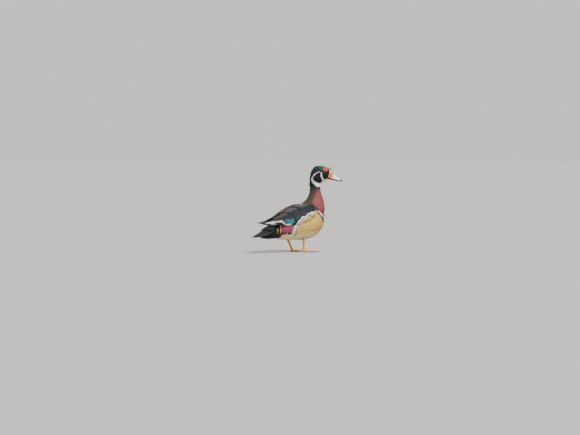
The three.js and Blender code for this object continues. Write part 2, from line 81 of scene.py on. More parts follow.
MANTLE = {
    "rear": -172, "front": 62,
    "half": [13, 19, 25, 35, 45.5, 54, 57.5, 55, 43],
    "top": [86, 88.5, 92, 101, 115, 127, 134, 137, 136],
    "level": [84, 83, 81.5, 83, 86, 88, 90, 93, 98],
}
WING = {
    "front": 50, "rear": -112,
    "high": [22, 10, 7, 7, 14, 24],
    "low": [44, 58, 76, 98, 99, 82],
}
TAIL = {
    "root": [-82, 88], "pitch": -24 * DEG, "length": 108, "shorter": 34, "fan": 11 * DEG, "wide": 7,
    "pairs": 7, "vane": 14, "coverts": -6, "front": -80, "rear": -160,
    "top": [86, 79, 71, 62, 52],
    "low": [42, 38.5, 38, 39.5, 47],
    "half": [24, 22, 20, 16, 6],
}
CREST = {
    "back_x": [12, -1, -9.5, -13.6, -15.4, -16.6],
    "back_z": [246, 240.5, 228.5, 214, 199, 184],
    "core_x": [10, 8, 6, 3, 1, 0],
    "core_z": [226, 222, 216, 208, 196, 183],
    "wide": [15, 17.5, 18.8, 18, 16.4, 14.5],
    "lock": 2.0,
}
LEGS = {
    "right": {"side": -1, "knee": [18, -30, 66], "heel": [-5, -28, 38], "ankle": [-4, -27, 7], "turn": -8},
    "left": {"side": 1, "knee": [14, 32, 66], "heel": [-12, 29, 36], "ankle": [2, 27, 7], "turn": 6},
}
TOES = [[-24, 38], [0, 49], [23, 46]]
HIND_TOE = 13

# Camera: the photograph's frame is 580 by 435, and one of its pixels is 2.85 mm at the bird.
PIXEL = 2.85
FRAME_WIDE = 580 * PIXEL
VIEW = {"azimuth": -45 * DEG, "height": 1.2 * DEG, "across": -22.8, "up": 98, "lens": 200}

# Colours, linear.
BLACK = (0.006, 0.006, 0.007)
GREEN_BLACK = (0.006, 0.014, 0.011)
CROWN_GREEN = (0.008, 0.07, 0.035)
CREST_PURPLE = (0.017, 0.007, 0.025)
WHITE = (0.86, 0.84, 0.8)
CHESTNUT = (0.235, 0.055, 0.06)
HIND_NECK = (0.05, 0.04, 0.024)
NECK_TOP = (0.014, 0.01, 0.014)
BUFF = (0.7, 0.445, 0.12)
BELLY = (0.84, 0.65, 0.36)
MAROON = (0.235, 0.05, 0.105)
ORANGE = (0.7, 0.33, 0.07)
BACK_BRONZE = (0.016, 0.017, 0.013)
TEAL = (0.025, 0.21, 0.255)
COVERT_BLUE = (0.006, 0.014, 0.022)
SHOULDER = (0.014, 0.014, 0.015)
SHOULDER_EDGE = (0.035, 0.033, 0.03)
SILVER = (0.42, 0.42, 0.5)
BLUE_BLACK = (0.007, 0.01, 0.016)
# Painted highlight: pale rims of the upper tertials and scapulars, standing for sunlight glinting on their
# edges.
EDGE_GLINT = (0.36, 0.24, 0.17)
CREAM = (0.8, 0.72, 0.55)
TAIL_BRONZE = (0.012, 0.014, 0.013)
TAIL_EDGE = (0.035, 0.032, 0.028)
COVERT_GREEN = (0.008, 0.016, 0.014)
BILL_RED = (0.68, 0.07, 0.03)
BILL_PINK = (0.85, 0.5, 0.42)
BILL_WHITE = (0.86, 0.82, 0.78)
BILL_YELLOW = (0.88, 0.5, 0.04)
IRIS_RED = (0.72, 0.008, 0.004)
IRIS_RIM = (0.3, 0.006, 0.004)
PUPIL = (0.003, 0.002, 0.002)
LID_RED = (0.78, 0.014, 0.016)
LEG_YELLOW = (0.66, 0.27, 0.012)
WEB = (0.1, 0.075, 0.035)
HEEL = (0.3, 0.13, 0.02)
FLOOR_GREY = (0.42, 0.418, 0.414)


def mix(a, b, t):
    return a + (b - a) * t


def step(low, high, value):
    """Runs smoothly from 0 at low to 1 at high, which may also be the smaller one."""
    t = np.clip((value - low) / (high - low), 0, 1)
    return t * t * (3 - 2 * t)


def until(low, high, value):
    """Runs smoothly from 1 at low to 0 at high."""
    return 1 - step(low, high, value)


def smooth(values, t):
    """Value of an evenly spaced list at t from 0 to 1, on a smooth curve through its entries."""
    v = np.asarray(values, float)
    last = len(v) - 1
    at = np.clip(t, 0, 1) * last
    i = np.minimum(np.floor(at).astype(int), last - 1)
    f = at - i
    p = np.concatenate([[2 * v[0] - v[1]], v, [2 * v[-1] - v[-2]]])
    a, b, c, d = (p[i + k] for k in range(4))
    return 0.5 * (2 * b + (c - a) * f + (2 * a - 5 * b + 4 * c - d) * f * f + (3 * b - a - 3 * c + d) * f**3)


def unit(v):
    return v / np.maximum(np.linalg.norm(v, axis=-1, keepdims=True), 1e-9)


def stack(*parts):
    """Points from their coordinates, spread to one common shape."""
    return np.stack(np.broadcast_arrays(*parts), -1)


def split(p):
    return np.moveaxis(p, -1, 0)


def grid(rows, around):
    """Shares from 0 to 1 down a column, and angles round a row."""
    return np.linspace(0, 1, rows)[:, None], np.linspace(0, 2 * math.pi, around, endpoint=False)[None]


def turned(p, angle):
    """Points turned about the vertical."""
    x, y, z = split(np.asarray(p, float))
    c, s = math.cos(angle), math.sin(angle)
    return np.stack([c * x - s * y, s * x + c * y, z], -1)


def from_head(p):
    """A point of the head's frame in the bird's."""
    return turned(p, HEAD_TURN) + HEAD_PIVOT


def to_head(p):
    return turned(p - HEAD_PIVOT, -HEAD_TURN)


def eye_centre(side):
    return np.array([EYE["ahead"], side * EYE["side"], EYE["height"]])


# The row's origin against the bird's own: told by where the right eye is.
SHIFT = 500 * np.sum(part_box("eye_right"), axis=0) - from_head(eye_centre(-1))


def mesh_object(name, points, faces):
    mesh = bpy.data.meshes.new(name)
    placed = (np.asarray(points, float).reshape(-1, 3) + SHIFT) / 1000
    mesh.from_pydata(placed.tolist(), [], [list(map(int, f)) for f in faces])
    mesh.validate()
    mesh.shade_smooth()
    piece = bpy.data.objects.new(name, mesh)
    bpy.context.scene.collection.objects.link(piece)
    return piece


def bird_points(piece):
    mesh = piece.data
    flat = np.empty(len(mesh.vertices) * 3)
    mesh.vertices.foreach_get("co", flat)
    return flat.reshape(-1, 3) * 1000 - SHIFT


def set_colours(piece, colours, gloss):
    """Stores each point's colour, with how glossy it is as its alpha."""
    layer = piece.data.color_attributes.new("plumage", "FLOAT_COLOR", "POINT")
    layer.data.foreach_set("color", np.column_stack([colours, np.broadcast_to(gloss, len(colours))]).ravel())


def set_vane(piece, across, along, fine):
    """Stores where a point lies across and along its feather, and how much fine barring it has."""
    layer = piece.data.attributes.new("vane", "FLOAT_VECTOR", "POINT")
    layer.data.foreach_set("vector", np.stack([across, along, fine], -1).ravel())


def set_bake_map(piece, uv):
    layer = piece.data.uv_layers.new(name="OFBake")
    corner = np.empty(len(piece.data.loops), int)
    piece.data.loops.foreach_get("vertex_index", corner)
    layer.data.foreach_set("uv", uv[corner].ravel())


def ring_faces(rows, around, start=0):
    """Faces of a closed tube of rings, each of its ends closed by one face."""
    faces = []
    for r in range(rows - 1):
        for k in range(around):
            a = start + r * around + k
            b = start + r * around + (k + 1) % around
            faces.append((a, b, b + around, a + around))
    faces.append([start + k for k in reversed(range(around))])
    faces.append([start + (rows - 1) * around + k for k in range(around)])
    return faces


def shell_faces(rows, columns, start=0):
    """Faces of a thin closed shell: a grid of points above, the same grid below, and the rim between them."""
    under = rows * columns
    at = start + np.arange(under).reshape(rows, columns)
    faces = []
    for r in range(rows - 1):
        for c in range(columns - 1):
            quad = (at[r, c], at[r + 1, c], at[r + 1, c + 1], at[r, c + 1])
            faces += [quad, tuple(under + k for k in reversed(quad))]
    rim = [*at[0], *at[1:, -1], *at[-1, -2::-1], *at[-2:0:-1, 0]]
    return faces + [(a, b, b + under, a + under) for a, b in zip(rim, rim[1:] + rim[:1])]


def egg(shape, steps, around, grow=0.0):
    """Rings of a body with rounded ends, its upper and lower halves of different heights."""
    t, turn = grid(steps + 1, around)
    t = t[1:-1]
    share, rise = np.sin(t * math.pi) ** shape["blunt"], np.sin(turn)
    tall = np.where(rise > 0, smooth(shape["high"], t), smooth(shape["deep"], t)) * share + grow
    middle = (shape["rear"] + shape["front"]) / 2
    half = (shape["front"] - shape["rear"]) / 2 + grow
    wide = smooth(shape["wide"], t) * share + grow
    x, z = middle - half * np.cos(t * math.pi), smooth(shape["level"], t) + tall * rise
    return stack(x, wide * np.cos(turn), z)


def neck_rings(steps, around, grow=0.0):
    t, turn = grid(steps + 1, around)
    x = smooth(NECK["centre"], t) + (smooth(NECK["long"], t) + grow) * np.cos(turn)
    return stack(x, (smooth(NECK["wide"], t) + grow) * np.sin(turn), smooth(NECK["height"], t))


def tail_core(steps, around, grow=0.0):
    t, turn = grid(steps + 1, around)
    top, low = smooth(TAIL["top"], t) + grow, smooth(TAIL["low"], t) - grow
    y = -(smooth(TAIL["half"], t) + grow) * np.cos(turn)
    return stack(mix(TAIL["front"], TAIL["rear"], t), y, (top + low) / 2 + (top - low) / 2 * np.sin(turn))


def tube(centres, radii, around=16):
    """Rings round a line of points, each with its radius."""
    centres = np.asarray(centres, float)
    circle = [Vector((math.cos(a), math.sin(a), 0)) for a in grid(2, around)[1][0]]
    rings = []
    for i, (centre, radius) in enumerate(zip(centres, radii)):
        ahead = unit(centres[min(i + 1, len(centres) - 1)] - centres[max(i - 1, 0)])
        turn = Vector((0, 0, 1)).rotation_difference(Vector(ahead))
        rings.append(centre + radius * np.array([turn @ p for p in circle]))
    return np.array(rings)


def tube_along(place_at, rows, around=16):
    """A tube from rows of (share, radius), with each ring's centre worked out from its share."""
    return tube([place_at(share) for share, _ in rows], [radius for _, radius in rows], around)


def fused(name, shapes, voxel, rounds):
    """One closed skin round several closed tubes of rings, with its creases softened."""
    points, faces, start = [], [], 0
    for rings in shapes:
        points.append(rings.reshape(-1, 3))
        faces += ring_faces(*rings.shape[:2], start)
        start += len(points[-1])
    piece = mesh_object(name, np.concatenate(points), faces)
    remesh = piece.modifiers.new("one", "REMESH")
    remesh.mode = "VOXEL"
    remesh.voxel_size = voxel / 1000
    soft = piece.modifiers.new("soft", "SMOOTH")
    soft.factor = 0.5
    soft.iterations = rounds
    bpy.context.view_layer.update()
    made = bpy.data.meshes.new_from_object(piece.evaluated_get(bpy.context.evaluated_depsgraph_get()))
    piece.modifiers.clear()
    rough = piece.data
    piece.data = made
    bpy.data.meshes.remove(rough)
    made.shade_smooth()
    return piece


# Markings of the head in its side view, as lines of (ahead, height).
BROW_LINE = [(41, 231), (38, 238), (33, 241.5), (27, 243.3), (18, 243.8), (4, 239.5), (-7, 229), (-11.5, 214),
             (-13.5, 196)]
EAR_LINE = [(9, 227.5), (1.5, 224), (-4.5, 219), (-9, 212), (-11, 207)]
CHEEK_PRONG = [(14.8, 224.5), (15.6, 216), (17.8, 209), (20.5, 205)]
CHIN_STRAP = [(-10, 206), (-7, 198.5), (-1, 192), (6, 189), (13, 190), (20, 195), (29, 201.5), (41, 206)]
STRAP_LOW = [(-11, 204), (-8, 195), (0, 187), (6, 183.5), (13, 184), (20, 187), (29, 193), (41, 200)]
STRAP_TOP = [(13, 192), (17, 200), (21, 204), (30, 206.5), (41, 209)]


def height_of(line, at):
    """Second coordinate of a line of points where its first one is at."""
    first, second = zip(*line)
    return np.interp(at, first, second)


def line_distance(u, z, line):
    """Distance of each point from a line of points, and how far along the line it is, from 0 to 1."""
    best = np.full(u.shape, 1e9)
    where = np.zeros(u.shape)
    count = len(line) - 1
    for k, ((u0, z0), (u1, z1)) in enumerate(zip(line, line[1:])):
        du, dz = u1 - u0, z1 - z0
        f = np.clip(((u - u0) * du + (z - z0) * dz) / (du * du + dz * dz), 0, 1)
        d = np.hypot(u - u0 - f * du, z - z0 - f * dz)
        where = np.where(d < best, (k + f) / count, where)
        best = np.minimum(best, d)
    return best, where


def filled(p, colour):
    """One colour at every point."""
    return np.zeros(p.shape) + colour


def paint(base, colour, share):
    return base + (np.asarray(colour) - base) * share[..., None]


def painted(colour, fields):
    """A colour with others painted over it in turn, each by its share."""
    for tint, share in fields:
        colour = paint(colour, tint, share)
    return colour


def head_markings(p):
    """Colour and gloss of the head's places, and 1 where one is below the chin strap."""
    u, w, z = split(to_head(p))
    sheen = [(CROWN_GREEN, step(230, 238, z) * step(-6, 8, u) * until(29, 35, u)),
             (CREST_PURPLE, step(14, 4, u) * step(200, 222, z) * 0.8),
             (CROWN_GREEN, 0.6 * step(-4, -12, u) * step(214, 200, z))]
    colour = painted(filled(p, GREEN_BLACK), sheen)
    near, where = line_distance(u, z, BROW_LINE)
    thin = 0.9 - 0.7 * where
    brow = step(3.5, 5, np.abs(w)) * until(thin, thin + 0.4, near) * until(0.33, 0.6, where)
    near, where = line_distance(u, z, EAR_LINE)
    ear = until(0.4 + 0.6 * where, 0.85 + 0.8 * where, near)
    near, where = line_distance(u, z, CHEEK_PRONG)
    prong = until(1.3 + 0.6 * where, 1.8 + 0.9 * where, near)
    near, where = line_distance(u, z, CHIN_STRAP)
    broad = 1.6 + 3.6 * np.sin(np.clip(where * 1.15, 0, 1) * math.pi)
    strap = until(broad, broad + 0.7, near)
    low, top = height_of(STRAP_LOW, u), height_of(STRAP_TOP, u)
    throat = step(low - 1, low, z) * until(top - 0.5, top + 0.5, z) * step(13, 15, u)
    below = until(low - 1, low + 0.5, z)
    lines = np.maximum.reduce([brow, ear, prong, strap, throat]) * (1 - below)
    return paint(colour, WHITE, lines), mix(0.7, 0.15, lines), below


# How far round from the front the chestnut of the neck reaches, as (height, degrees).
NECK_EDGE = [(120, 108), (126, 119), (136, 138), (144, 146), (162, 138), (179, 110), (190, 70)]


def neck_markings(p):
    x, y, z = split(p)
    low, high = NECK["height"][0], NECK["height"][-1]
    angle = np.abs(np.arctan2(y, x - smooth(NECK["centre"], (z - low) / (high - low)))) / DEG
    edge = height_of(NECK_EDGE, z)
    colour = paint(filled(p, HIND_NECK), CHESTNUT, until(edge - 16, edge + 10, angle))
    return paint(colour, NECK_TOP, step(172, 183, z)), np.full(x.shape, 0.3)


def spots(p, size, share):
    """1 inside small round spots, spaced unevenly over the surface."""
    cell = np.floor(p / size)
    mark = np.sin(cell @ np.array([12.9898, 78.233, 37.719])) * 43758.5453
    mark = mark - np.floor(mark)
    centre = (cell + 0.5) * size
    return ((mark < share) & (np.linalg.norm(p - centre, axis=-1) < 0.4 * size)).astype(float)


# The white bar at the side of the breast, as (height, ahead), and the border where the flank's plumes end, as
# (ahead, height).
BREAST_BAR = [(70, 87), (78, 83), (84, 77), (92, 66), (101, 53), (110, 46), (118, 42.5), (124, 40), (130, 38)]
PLUME_EDGE = [(23, 117.5), (8, 115), (-7, 112), (-24, 104.5), (-39.5, 97.5), (-51, 88), (-56.5, 78),
              (-61, 66.5), (-62, 53.5)]


def bar_distance(x, z):
    """Distance of a place ahead of the middle of the white bar, across the bar."""
    slope = (height_of(BREAST_BAR, z + 3) - height_of(BREAST_BAR, z - 3)) / 6
    return (x - height_of(BREAST_BAR, z)) / np.sqrt(1 + slope**2)


def torso_markings(p):
    """Colour, gloss and fine barring of the torso: its fields in the order in which they cover each other."""
    x, y, z = split(p)
    middle = until(20, 34, np.abs(y))
    belly = np.maximum(step(60, 48, z - 0.05 * (x + 60)), middle * until(70, 78, z))
    back = step(1, 4, z - height_of(PLUME_EDGE[::-1], x)) * step(-66, -60, x) * step(60, 66, z)
    back = np.maximum(back, step(84, 92, z) * until(-62, -58, x))
    rump = until(-64, -61, x) * step(50, 53, z)
    patch = rump * step(55, 58, z) * until(78, 82, z) * step(-96, -92, x)
    tail_end = np.maximum(until(-98, -93, x), until(-88, -82, x) * until(54, 60, z))
    bar, at_side = bar_distance(x, z), step(20, 27, np.abs(y)) * until(122, 126, z)
    black_bar = step(-10.5, -9.5, bar) * until(-3.4, -2.8, bar) * step(72, 78, z) * at_side
    white_bar = step(-3.4, -2.8, bar) * until(2.6, 3.4, bar) * step(75, 81, z) * at_side
    chestnut = np.maximum(step(2.6, 3.4, bar), middle * step(60, 66, x)) * step(68, 78, z)
    chestnut = np.maximum(chestnut, step(122, 126, z) * step(30, 40, x))
    fields = [(BELLY, belly), (BACK_BRONZE, back), (BLACK, rump), (MAROON, patch), (BLACK, tail_end),
              (CHESTNUT, chestnut), (WHITE, chestnut * spots(p, 6, 0.6) * step(106, 94, z)),
              (BLACK, black_bar), (WHITE, white_bar)]
    colour = painted(filled(p, BUFF), fields)
    dark = np.maximum.reduce([back, rump, tail_end])
    fine = (1 - belly) * (1 - np.maximum.reduce([dark, chestnut, black_bar, white_bar]))
    return colour, mix(0.12, 0.5, dark), fine


def markings(p):
    """Colour, gloss and fine barring of the plumage at points of the bird's surface."""
    z = p[..., 2]
    colour, gloss, fine = torso_markings(p)
    neck_colour, neck_gloss = neck_markings(p)
    neck = step(126, 138, z)
    head_colour, head_gloss, below = head_markings(p)
    head = step(181, 182, z) * (1 - below)
    colour = paint(paint(colour, neck_colour, neck), head_colour, head)
    return colour, mix(mix(gloss, neck_gloss, neck), head_gloss, head), fine * (1 - neck)


def principled(name, base=None, roughness=0.6, **values):
    material = bpy.data.materials.new(name)
    material.use_nodes = True
    shader = material.node_tree.nodes["Principled BSDF"]
    shader.inputs["Roughness"].default_value = roughness
    if base:
        shader.inputs["Base Color"].default_value = (*base, 1)
    for key, value in values.items():
        shader.inputs[key.replace("_", " ")].default_value = value
    return material, material.node_tree, shader


def node(tree, kind, **values):
    made = tree.nodes.new(kind)
    for key, value in values.items():
        if key in made.bl_rna.properties:
            setattr(made, key, value)
        else:
            made.inputs[key.replace("_", " ")].default_value = value
    return made


def math_node(tree, operation, a, b=None):
    made = node(tree, "ShaderNodeMath", operation=operation)
    for socket, value in zip(made.inputs, (a, b)):
        if isinstance(value, (int, float)):
            socket.default_value = value
        elif value is not None:
            tree.links.new(value, socket)
    return made.outputs[0]


def ranged(tree, value, **ends):
    """A value mapped from one range to another, each from 0 to 1 where its ends aren't given."""
    made = node(tree, "ShaderNodeMapRange", **ends)
    tree.links.new(value, made.inputs["Value"])
    return made.outputs[0]


def textured(tree, kind, **values):
    """A texture that stays where it is on the piece."""
    place = node(tree, "ShaderNodeTexCoord")
    made = node(tree, kind, **values)
    tree.links.new(place.outputs["Object"], made.inputs["Vector"])
    return made


def stored_colour(tree, shader, strength=None):
    """Links the piece's own colours to its shader, made lighter or darker by strength."""
    colour = node(tree, "ShaderNodeAttribute", attribute_name="plumage")
    source = colour.outputs["Color"]
    if strength is not None:
        scaled = node(tree, "ShaderNodeVectorMath", operation="SCALE")
        tree.links.new(source, scaled.inputs[0])
        tree.links.new(strength, scaled.inputs["Scale"])
        source = scaled.outputs[0]
    tree.links.new(source, shader.inputs["Base Color"])
    return colour


def raised(tree, shader, height, strength, distance):
    """Links a height to the shader as fine relief."""
    bump = node(tree, "ShaderNodeBump", Strength=strength, Distance=distance)
    tree.links.new(height, bump.inputs["Height"])
    tree.links.new(bump.outputs[0], shader.inputs["Normal"])


def plumage_material():
    """Feathers: their own colour, with barbs, uneven tone, and fine wavy barring on the flanks."""
    material, tree, shader = principled("plumage", Specular_IOR_Level=0.22)
    vane = node(tree, "ShaderNodeAttribute", attribute_name="vane")
    parts = node(tree, "ShaderNodeSeparateXYZ")
    tree.links.new(vane.outputs["Vector"], parts.inputs[0])
    tone = textured(tree, "ShaderNodeTexNoise", Scale=260.0, Detail=4.0)
    light = ranged(tree, tone.outputs[0], To_Min=0.82, To_Max=1.18)
    wave = textured(tree, "ShaderNodeTexWave", Scale=330.0, Distortion=9.0, Detail=2.0,
                    bands_direction="DIAGONAL")
    lines = ranged(tree, wave.outputs["Fac"], From_Min=0.25, From_Max=0.6, To_Min=0.6)
    barring = node(tree, "ShaderNodeMix", data_type="FLOAT", A=1.0)
    tree.links.new(parts.outputs["Z"], barring.inputs["Factor"])
    tree.links.new(lines, barring.inputs["B"])
    colour = stored_colour(tree, shader, math_node(tree, "MULTIPLY", light, barring.outputs[0]))
    tree.links.new(ranged(tree, colour.outputs["Alpha"], To_Min=0.8, To_Max=0.42), shader.inputs["Roughness"])
    slant = math_node(tree, "MULTIPLY", math_node(tree, "ABSOLUTE", parts.outputs["X"]), 2.2)
    along = math_node(tree, "SUBTRACT", parts.outputs["Y"], slant)
    raised(tree, shader, math_node(tree, "SINE", math_node(tree, "MULTIPLY", along, 9.0)), 0.2, 0.0002)
    return material


PLUMAGE = plumage_material()


def dress(piece, slot, *nodes, material=PLUMAGE):
    piece.data.materials.clear()
    piece.data.materials.append(material)
    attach(piece, "root")
    if nodes:
        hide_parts(*nodes)


# The skin: one closed surface inside the coat, by how much it is inside, with a low ridge on the forehead as
# (ahead, height, radius), and thighs as (share from knee to heel, radius).
COAT, HEAD_COAT, TAIL_COAT = 1.3, 0.7, 2.0
SKIN_VOXEL, SKIN_ROUNDS = 1.5, 6
FOREHEAD = [(23.8, 240.2, 6), (30.8, 239.2, 5.5), (37.2, 236.6, 4.5), (42.8, 233.4, 3.4), (46.2, 230.6, 2.2)]
THIGH = [(0, 15.5), (0.35, 11.8), (0.7, 6.6), (0.95, 4.0)]


def thigh(leg):
    knee, heel = np.array(leg["knee"], float), np.array(leg["heel"], float)
    return tube_along(lambda t: mix(knee, heel, t), THIGH)


def make_skin():
    ahead, height, radius = np.array(FOREHEAD).T
    shapes = [
        egg(TORSO, 40, 64, -COAT),
        neck_rings(36, 56, -COAT),
        from_head(egg(HEAD, 36, 56, -HEAD_COAT)),
        tail_core(14, 28, -TAIL_COAT),
        thigh(LEGS["right"]),
        thigh(LEGS["left"]),
        from_head(tube(stack(ahead, 0, height), radius)),
    ]
    piece = fused("skin", shapes, SKIN_VOXEL, SKIN_ROUNDS)
    colour, gloss, fine = markings(bird_points(piece))
    set_colours(piece, colour, gloss)
    set_vane(piece, 0 * gloss, 0 * gloss, fine)
    dress(piece, "torso", "torso", "neck", "head")
    return piece


skin = make_skin()
skin_points = bird_points(skin)
skin_faces = [tuple(f.vertices) for f in skin.data.polygons]
TREE = BVHTree.FromPolygons(skin_points.tolist(), skin_faces)


def snap(points):
    """Each point's nearest place on the skin, and the skin's outward direction there."""
    hits = [TREE.find_nearest(Vector(p)) for p in points.reshape(-1, 3)]
    place, out = np.array([hit[0] for hit in hits]), np.array([hit[1] for hit in hits])
    return place.reshape(points.shape), unit(out).reshape(points.shape)


def lie(p, out):
    """The way the feathers point on the skin: back along the body, down the neck, back over the head."""
    x, z = p[..., 0], p[..., 2]
    body = stack(-1.0, 0.0, -0.12 - 1.1 * step(25, 75, x))
    neck = np.array([-0.3, 0, -1])
    head = turned(stack(-1.0, 0.0, -0.3 - 1.3 * step(14, -10, to_head(p)[..., 0])), HEAD_TURN)
    way = paint(paint(body, neck, step(112, 140, z)), head, step(184, 200, z))
    return unit(way - out * np.sum(way * out, -1, keepdims=True))


def scatter(inside, spacing):
    """Places spread evenly over the skin's faces that inside accepts, no two closer than spacing."""
    centres = np.array([skin_points[list(f)].mean(0) for f in skin_faces])
    chosen = np.flatnonzero(inside(centres))
    corners = np.array([skin_points[[f[0], f[1], f[2], f[-1]]] for f in (skin_faces[k] for k in chosen)])
    area = np.linalg.norm(np.cross(corners[:, 1] - corners[:, 0], corners[:, 3] - corners[:, 0]), axis=1)
    tries = int(6 * area.sum() / spacing**2)
    pick = RANDOM.choice(len(chosen), tries, p=area / area.sum())
    a, b = RANDOM.random((2, tries, 1))
    low = mix(corners[pick, 0], corners[pick, 1], a)
    high = mix(corners[pick, 3], corners[pick, 2], a)
    kept, cells = [], {}
    for p in mix(low, high, b):
        cell = tuple(np.floor(p / spacing).astype(int))
        near = [q for i in (-1, 0, 1) for j in (-1, 0, 1) for k in (-1, 0, 1)
                for q in cells.get((cell[0] + i, cell[1] + j, cell[2] + k), ())]
        if all((p[0] - q[0])**2 + (p[1] - q[1])**2 + (p[2] - q[2])**2 > spacing**2 for q in near):
            cells.setdefault(cell, []).append(p)
            kept.append(p)
    return np.array(kept)


# Forms of a small feather from root to tip: half widths, and heights over the skin as shares of its lift.
LEAF = {
    "at": [0, 0.35, 0.7, 0.92, 1],
    "wide": [0.5, 0.95, 1, 0.66, 0],
    "rise": [-0.5, 0.15, 0.55, 0.8, 0.8],
    "ridge": 0.03,
}
BARB = {"at": [0, 0.5, 1], "wide": [0.7, 1, 0], "rise": [-0.5, 0.5, 0.8], "ridge": 0.05}
RIDGE = 0.04
UNEVEN = {"size": 0.14, "way": 0.1, "shade": 0.06}
BAKE_PATCH = 0.003


def skin_unwrap(p):
    """A flat map of the skin: the body's, neck's and head's surfaces side by side in the unit square."""
    x, y, z = split(p)
    u, w, h = split(to_head(p))
    body_turn, neck_turn, head_turn = (np.arctan2(a, b) / (2 * math.pi) + 0.5
                                       for a, b in ((y, z - 82), (y, x - 66), (w, h - 215)))
    body = stack(0.04 + 0.92 * (x + 165) / 265, 0.03 + 0.44 * body_turn)
    neck = stack(0.04 + 0.4 * neck_turn, 0.52 + 0.44 * (z - 120) / 70)
    head = stack(0.52 + 0.44 * head_turn, 0.52 + 0.44 * (u + 20) / 70)
    return np.where((z > 186)[..., None], head, np.where((z > 125)[..., None], neck, body))


def leaf_faces(rows):
    """Faces of one closed feather with three points in each row and one at its tip."""
    faces = [(0, 1, 2)]
    for r in range(0, 3 * (rows - 1), 3):
        faces += [(r, r + 3, r + 4, r + 1), (r + 1, r + 4, r + 5, r + 2), (r, r + 2, r + 5, r + 3)]
    r, tip = 3 * (rows - 1), 3 * rows
    return faces + [(r, tip, r + 1), (r + 1, tip, r + 2), (r, r + 2, tip)]


def feathers_on_skin(name, roots, length, width, lift, slot, form):
    """Small closed feathers that lie along the coat and bend with it, shaded softly as one surface."""
    count, rows = len(roots), len(form["at"]) - 1
    size = 3 * rows + 1
    at, wide, rise = (np.array(form[key], float) for key in ("at", "wide", "rise"))
    grow = 1 + UNEVEN["size"] * RANDOM.standard_normal(count)
    roots, out = snap(roots)
    way = lie(roots, out)
    way = unit(way + UNEVEN["way"] * RANDOM.standard_normal((count, 1)) * np.cross(out, way))
    reach = (length(roots) * grow)[:, None, None] * at[None, :, None]
    line, normals = snap(roots[:, None] + way[:, None] * reach)
    middle = line + normals * (rise * lift)[None, :, None]
    across = unit(np.cross(normals, np.gradient(line, axis=1)))
    half = (width(roots) * grow)[:, None] * wide / 2
    edge = half[..., None] * across
    ridge = middle + normals * (form["ridge"] * half[..., None] + RIDGE)
    body = np.stack([middle - edge, ridge, middle + edge], 2)[:, :rows].reshape(count, 3 * rows, 3)
    points = np.concatenate([body, ridge[:, rows:]], 1)
    bent = np.stack([normals - 0.3 * across, normals, normals + 0.3 * across], 2)[:, :rows]
    shading = np.concatenate([bent.reshape(count, 3 * rows, 3), normals[:, rows:]], 1)
    faces = leaf_faces(rows)
    piece = mesh_object(name, points, [tuple(size * k + v for v in f) for k in range(count) for f in faces])
    piece.data.normals_split_custom_set_from_vertices(unit(shading).reshape(-1, 3).tolist())
    colour, gloss, fine = markings(line[:, rows])
    shade = 1 + UNEVEN["shade"] * RANDOM.standard_normal((count, 1))
    share = at[np.append(np.repeat(np.arange(rows), 3), rows)]
    # Each feather's tone differs at random. It is also painted darker towards its root and lighter at its
    # tip, as painted shade where it lies under the feathers over it.
    uneven_and_root_shaded = np.clip((colour * shade)[:, None] * mix(0.92, 1.05, share)[None, :, None], 0, 1)
    set_colours(piece, uneven_and_root_shaded.reshape(-1, 3), np.repeat(gloss, size))
    side = np.append(np.tile([-1, 0, 1], rows), 0)
    set_vane(piece, np.tile(side, count), (share * length(roots)[:, None]).ravel(), np.repeat(fine, size))
    patch = BAKE_PATCH / 2 * np.stack([side, share * 2 - 1], -1)
    set_bake_map(piece, (skin_unwrap(roots)[:, None] + patch[None]).reshape(-1, 2))
    dress(piece, slot)


# Heights where the three coats meet, with how much they overlap, the rear end of the body's coat, and how far
# the coats keep clear of an eye, the bill and a leg, and reach in under a wing.
NECK_FROM, HEAD_FROM, OVERLAP = 126, 184, 2
BODY_REAR = -112
CLEAR = {"eye": 6.6, "eye_low": 222, "bill_back": -3.5, "bill_low": -4, "bill_half": 9, "leg": 8}
UNDER = {"above": 5, "below": 9, "front": 0.06, "low": 70}


def mantle_share(x):
    return (x - MANTLE["rear"]) / (MANTLE["front"] - MANTLE["rear"])


def mantle_round(p):
    """Angle round the body of a point, as the wings' surface counts it, in degrees from the midline above."""
    x, y, z = split(p)
    t = mantle_share(x)
    level = smooth(MANTLE["level"], t)
    tall = smooth(MANTLE["top"], t) - level
    return np.arctan2(np.abs(y) / smooth(MANTLE["half"], t), (z - level) / tall) / DEG


def under_wing(p):
    t = (WING["front"] - p[..., 0]) / (WING["front"] - WING["rear"])
    turn = mantle_round(p)
    on = (turn > smooth(WING["high"], t) + UNDER["above"]) & (turn < smooth(WING["low"], t) - UNDER["below"])
    return on & (t > UNDER["front"]) & (t < 1) & (p[..., 2] > UNDER["low"])


def near_eye(p):
    u, _, z = split(to_head(p))
    gap = np.linalg.norm(stack(u - EYE["ahead"], z - EYE["height"]), axis=-1)
    return (gap < CLEAR["eye"]) & (z > CLEAR["eye_low"])


def in_bill(p):
    u, w, z = split(to_head(p))
    (corner, level), c, s = BILL["corner"], math.cos(BILL["pitch"]), math.sin(BILL["pitch"])
    along = (u - corner) * c + (z - level) * s
    above = -(u - corner) * s + (z - level) * c
    tall = np.interp(along, BILL["along"][:3], BILL["ridge"][:3])
    ahead = (along > CLEAR["bill_back"]) & (np.abs(w) < CLEAR["bill_half"])
    return ahead & (above > CLEAR["bill_low"]) & (above < tall)


def in_leg(p):
    near = [np.linalg.norm(p - np.array(leg["heel"]), axis=-1) < CLEAR["leg"] for leg in LEGS.values()]
    return near[0] | near[1]


def body_length(p):
    at_neck = step(98, 126, p[..., 2]) * step(25, 45, p[..., 0])
    return 8.5 + 3.5 * step(60, -40, p[..., 0]) - 3 * at_neck


def even(value):
    return lambda p: np.full(p.shape[:-1], value)


def on_body(p):
    return (p[:, 2] <= NECK_FROM + OVERLAP) & ~under_wing(p) & ~in_leg(p) & (p[:, 0] > BODY_REAR)


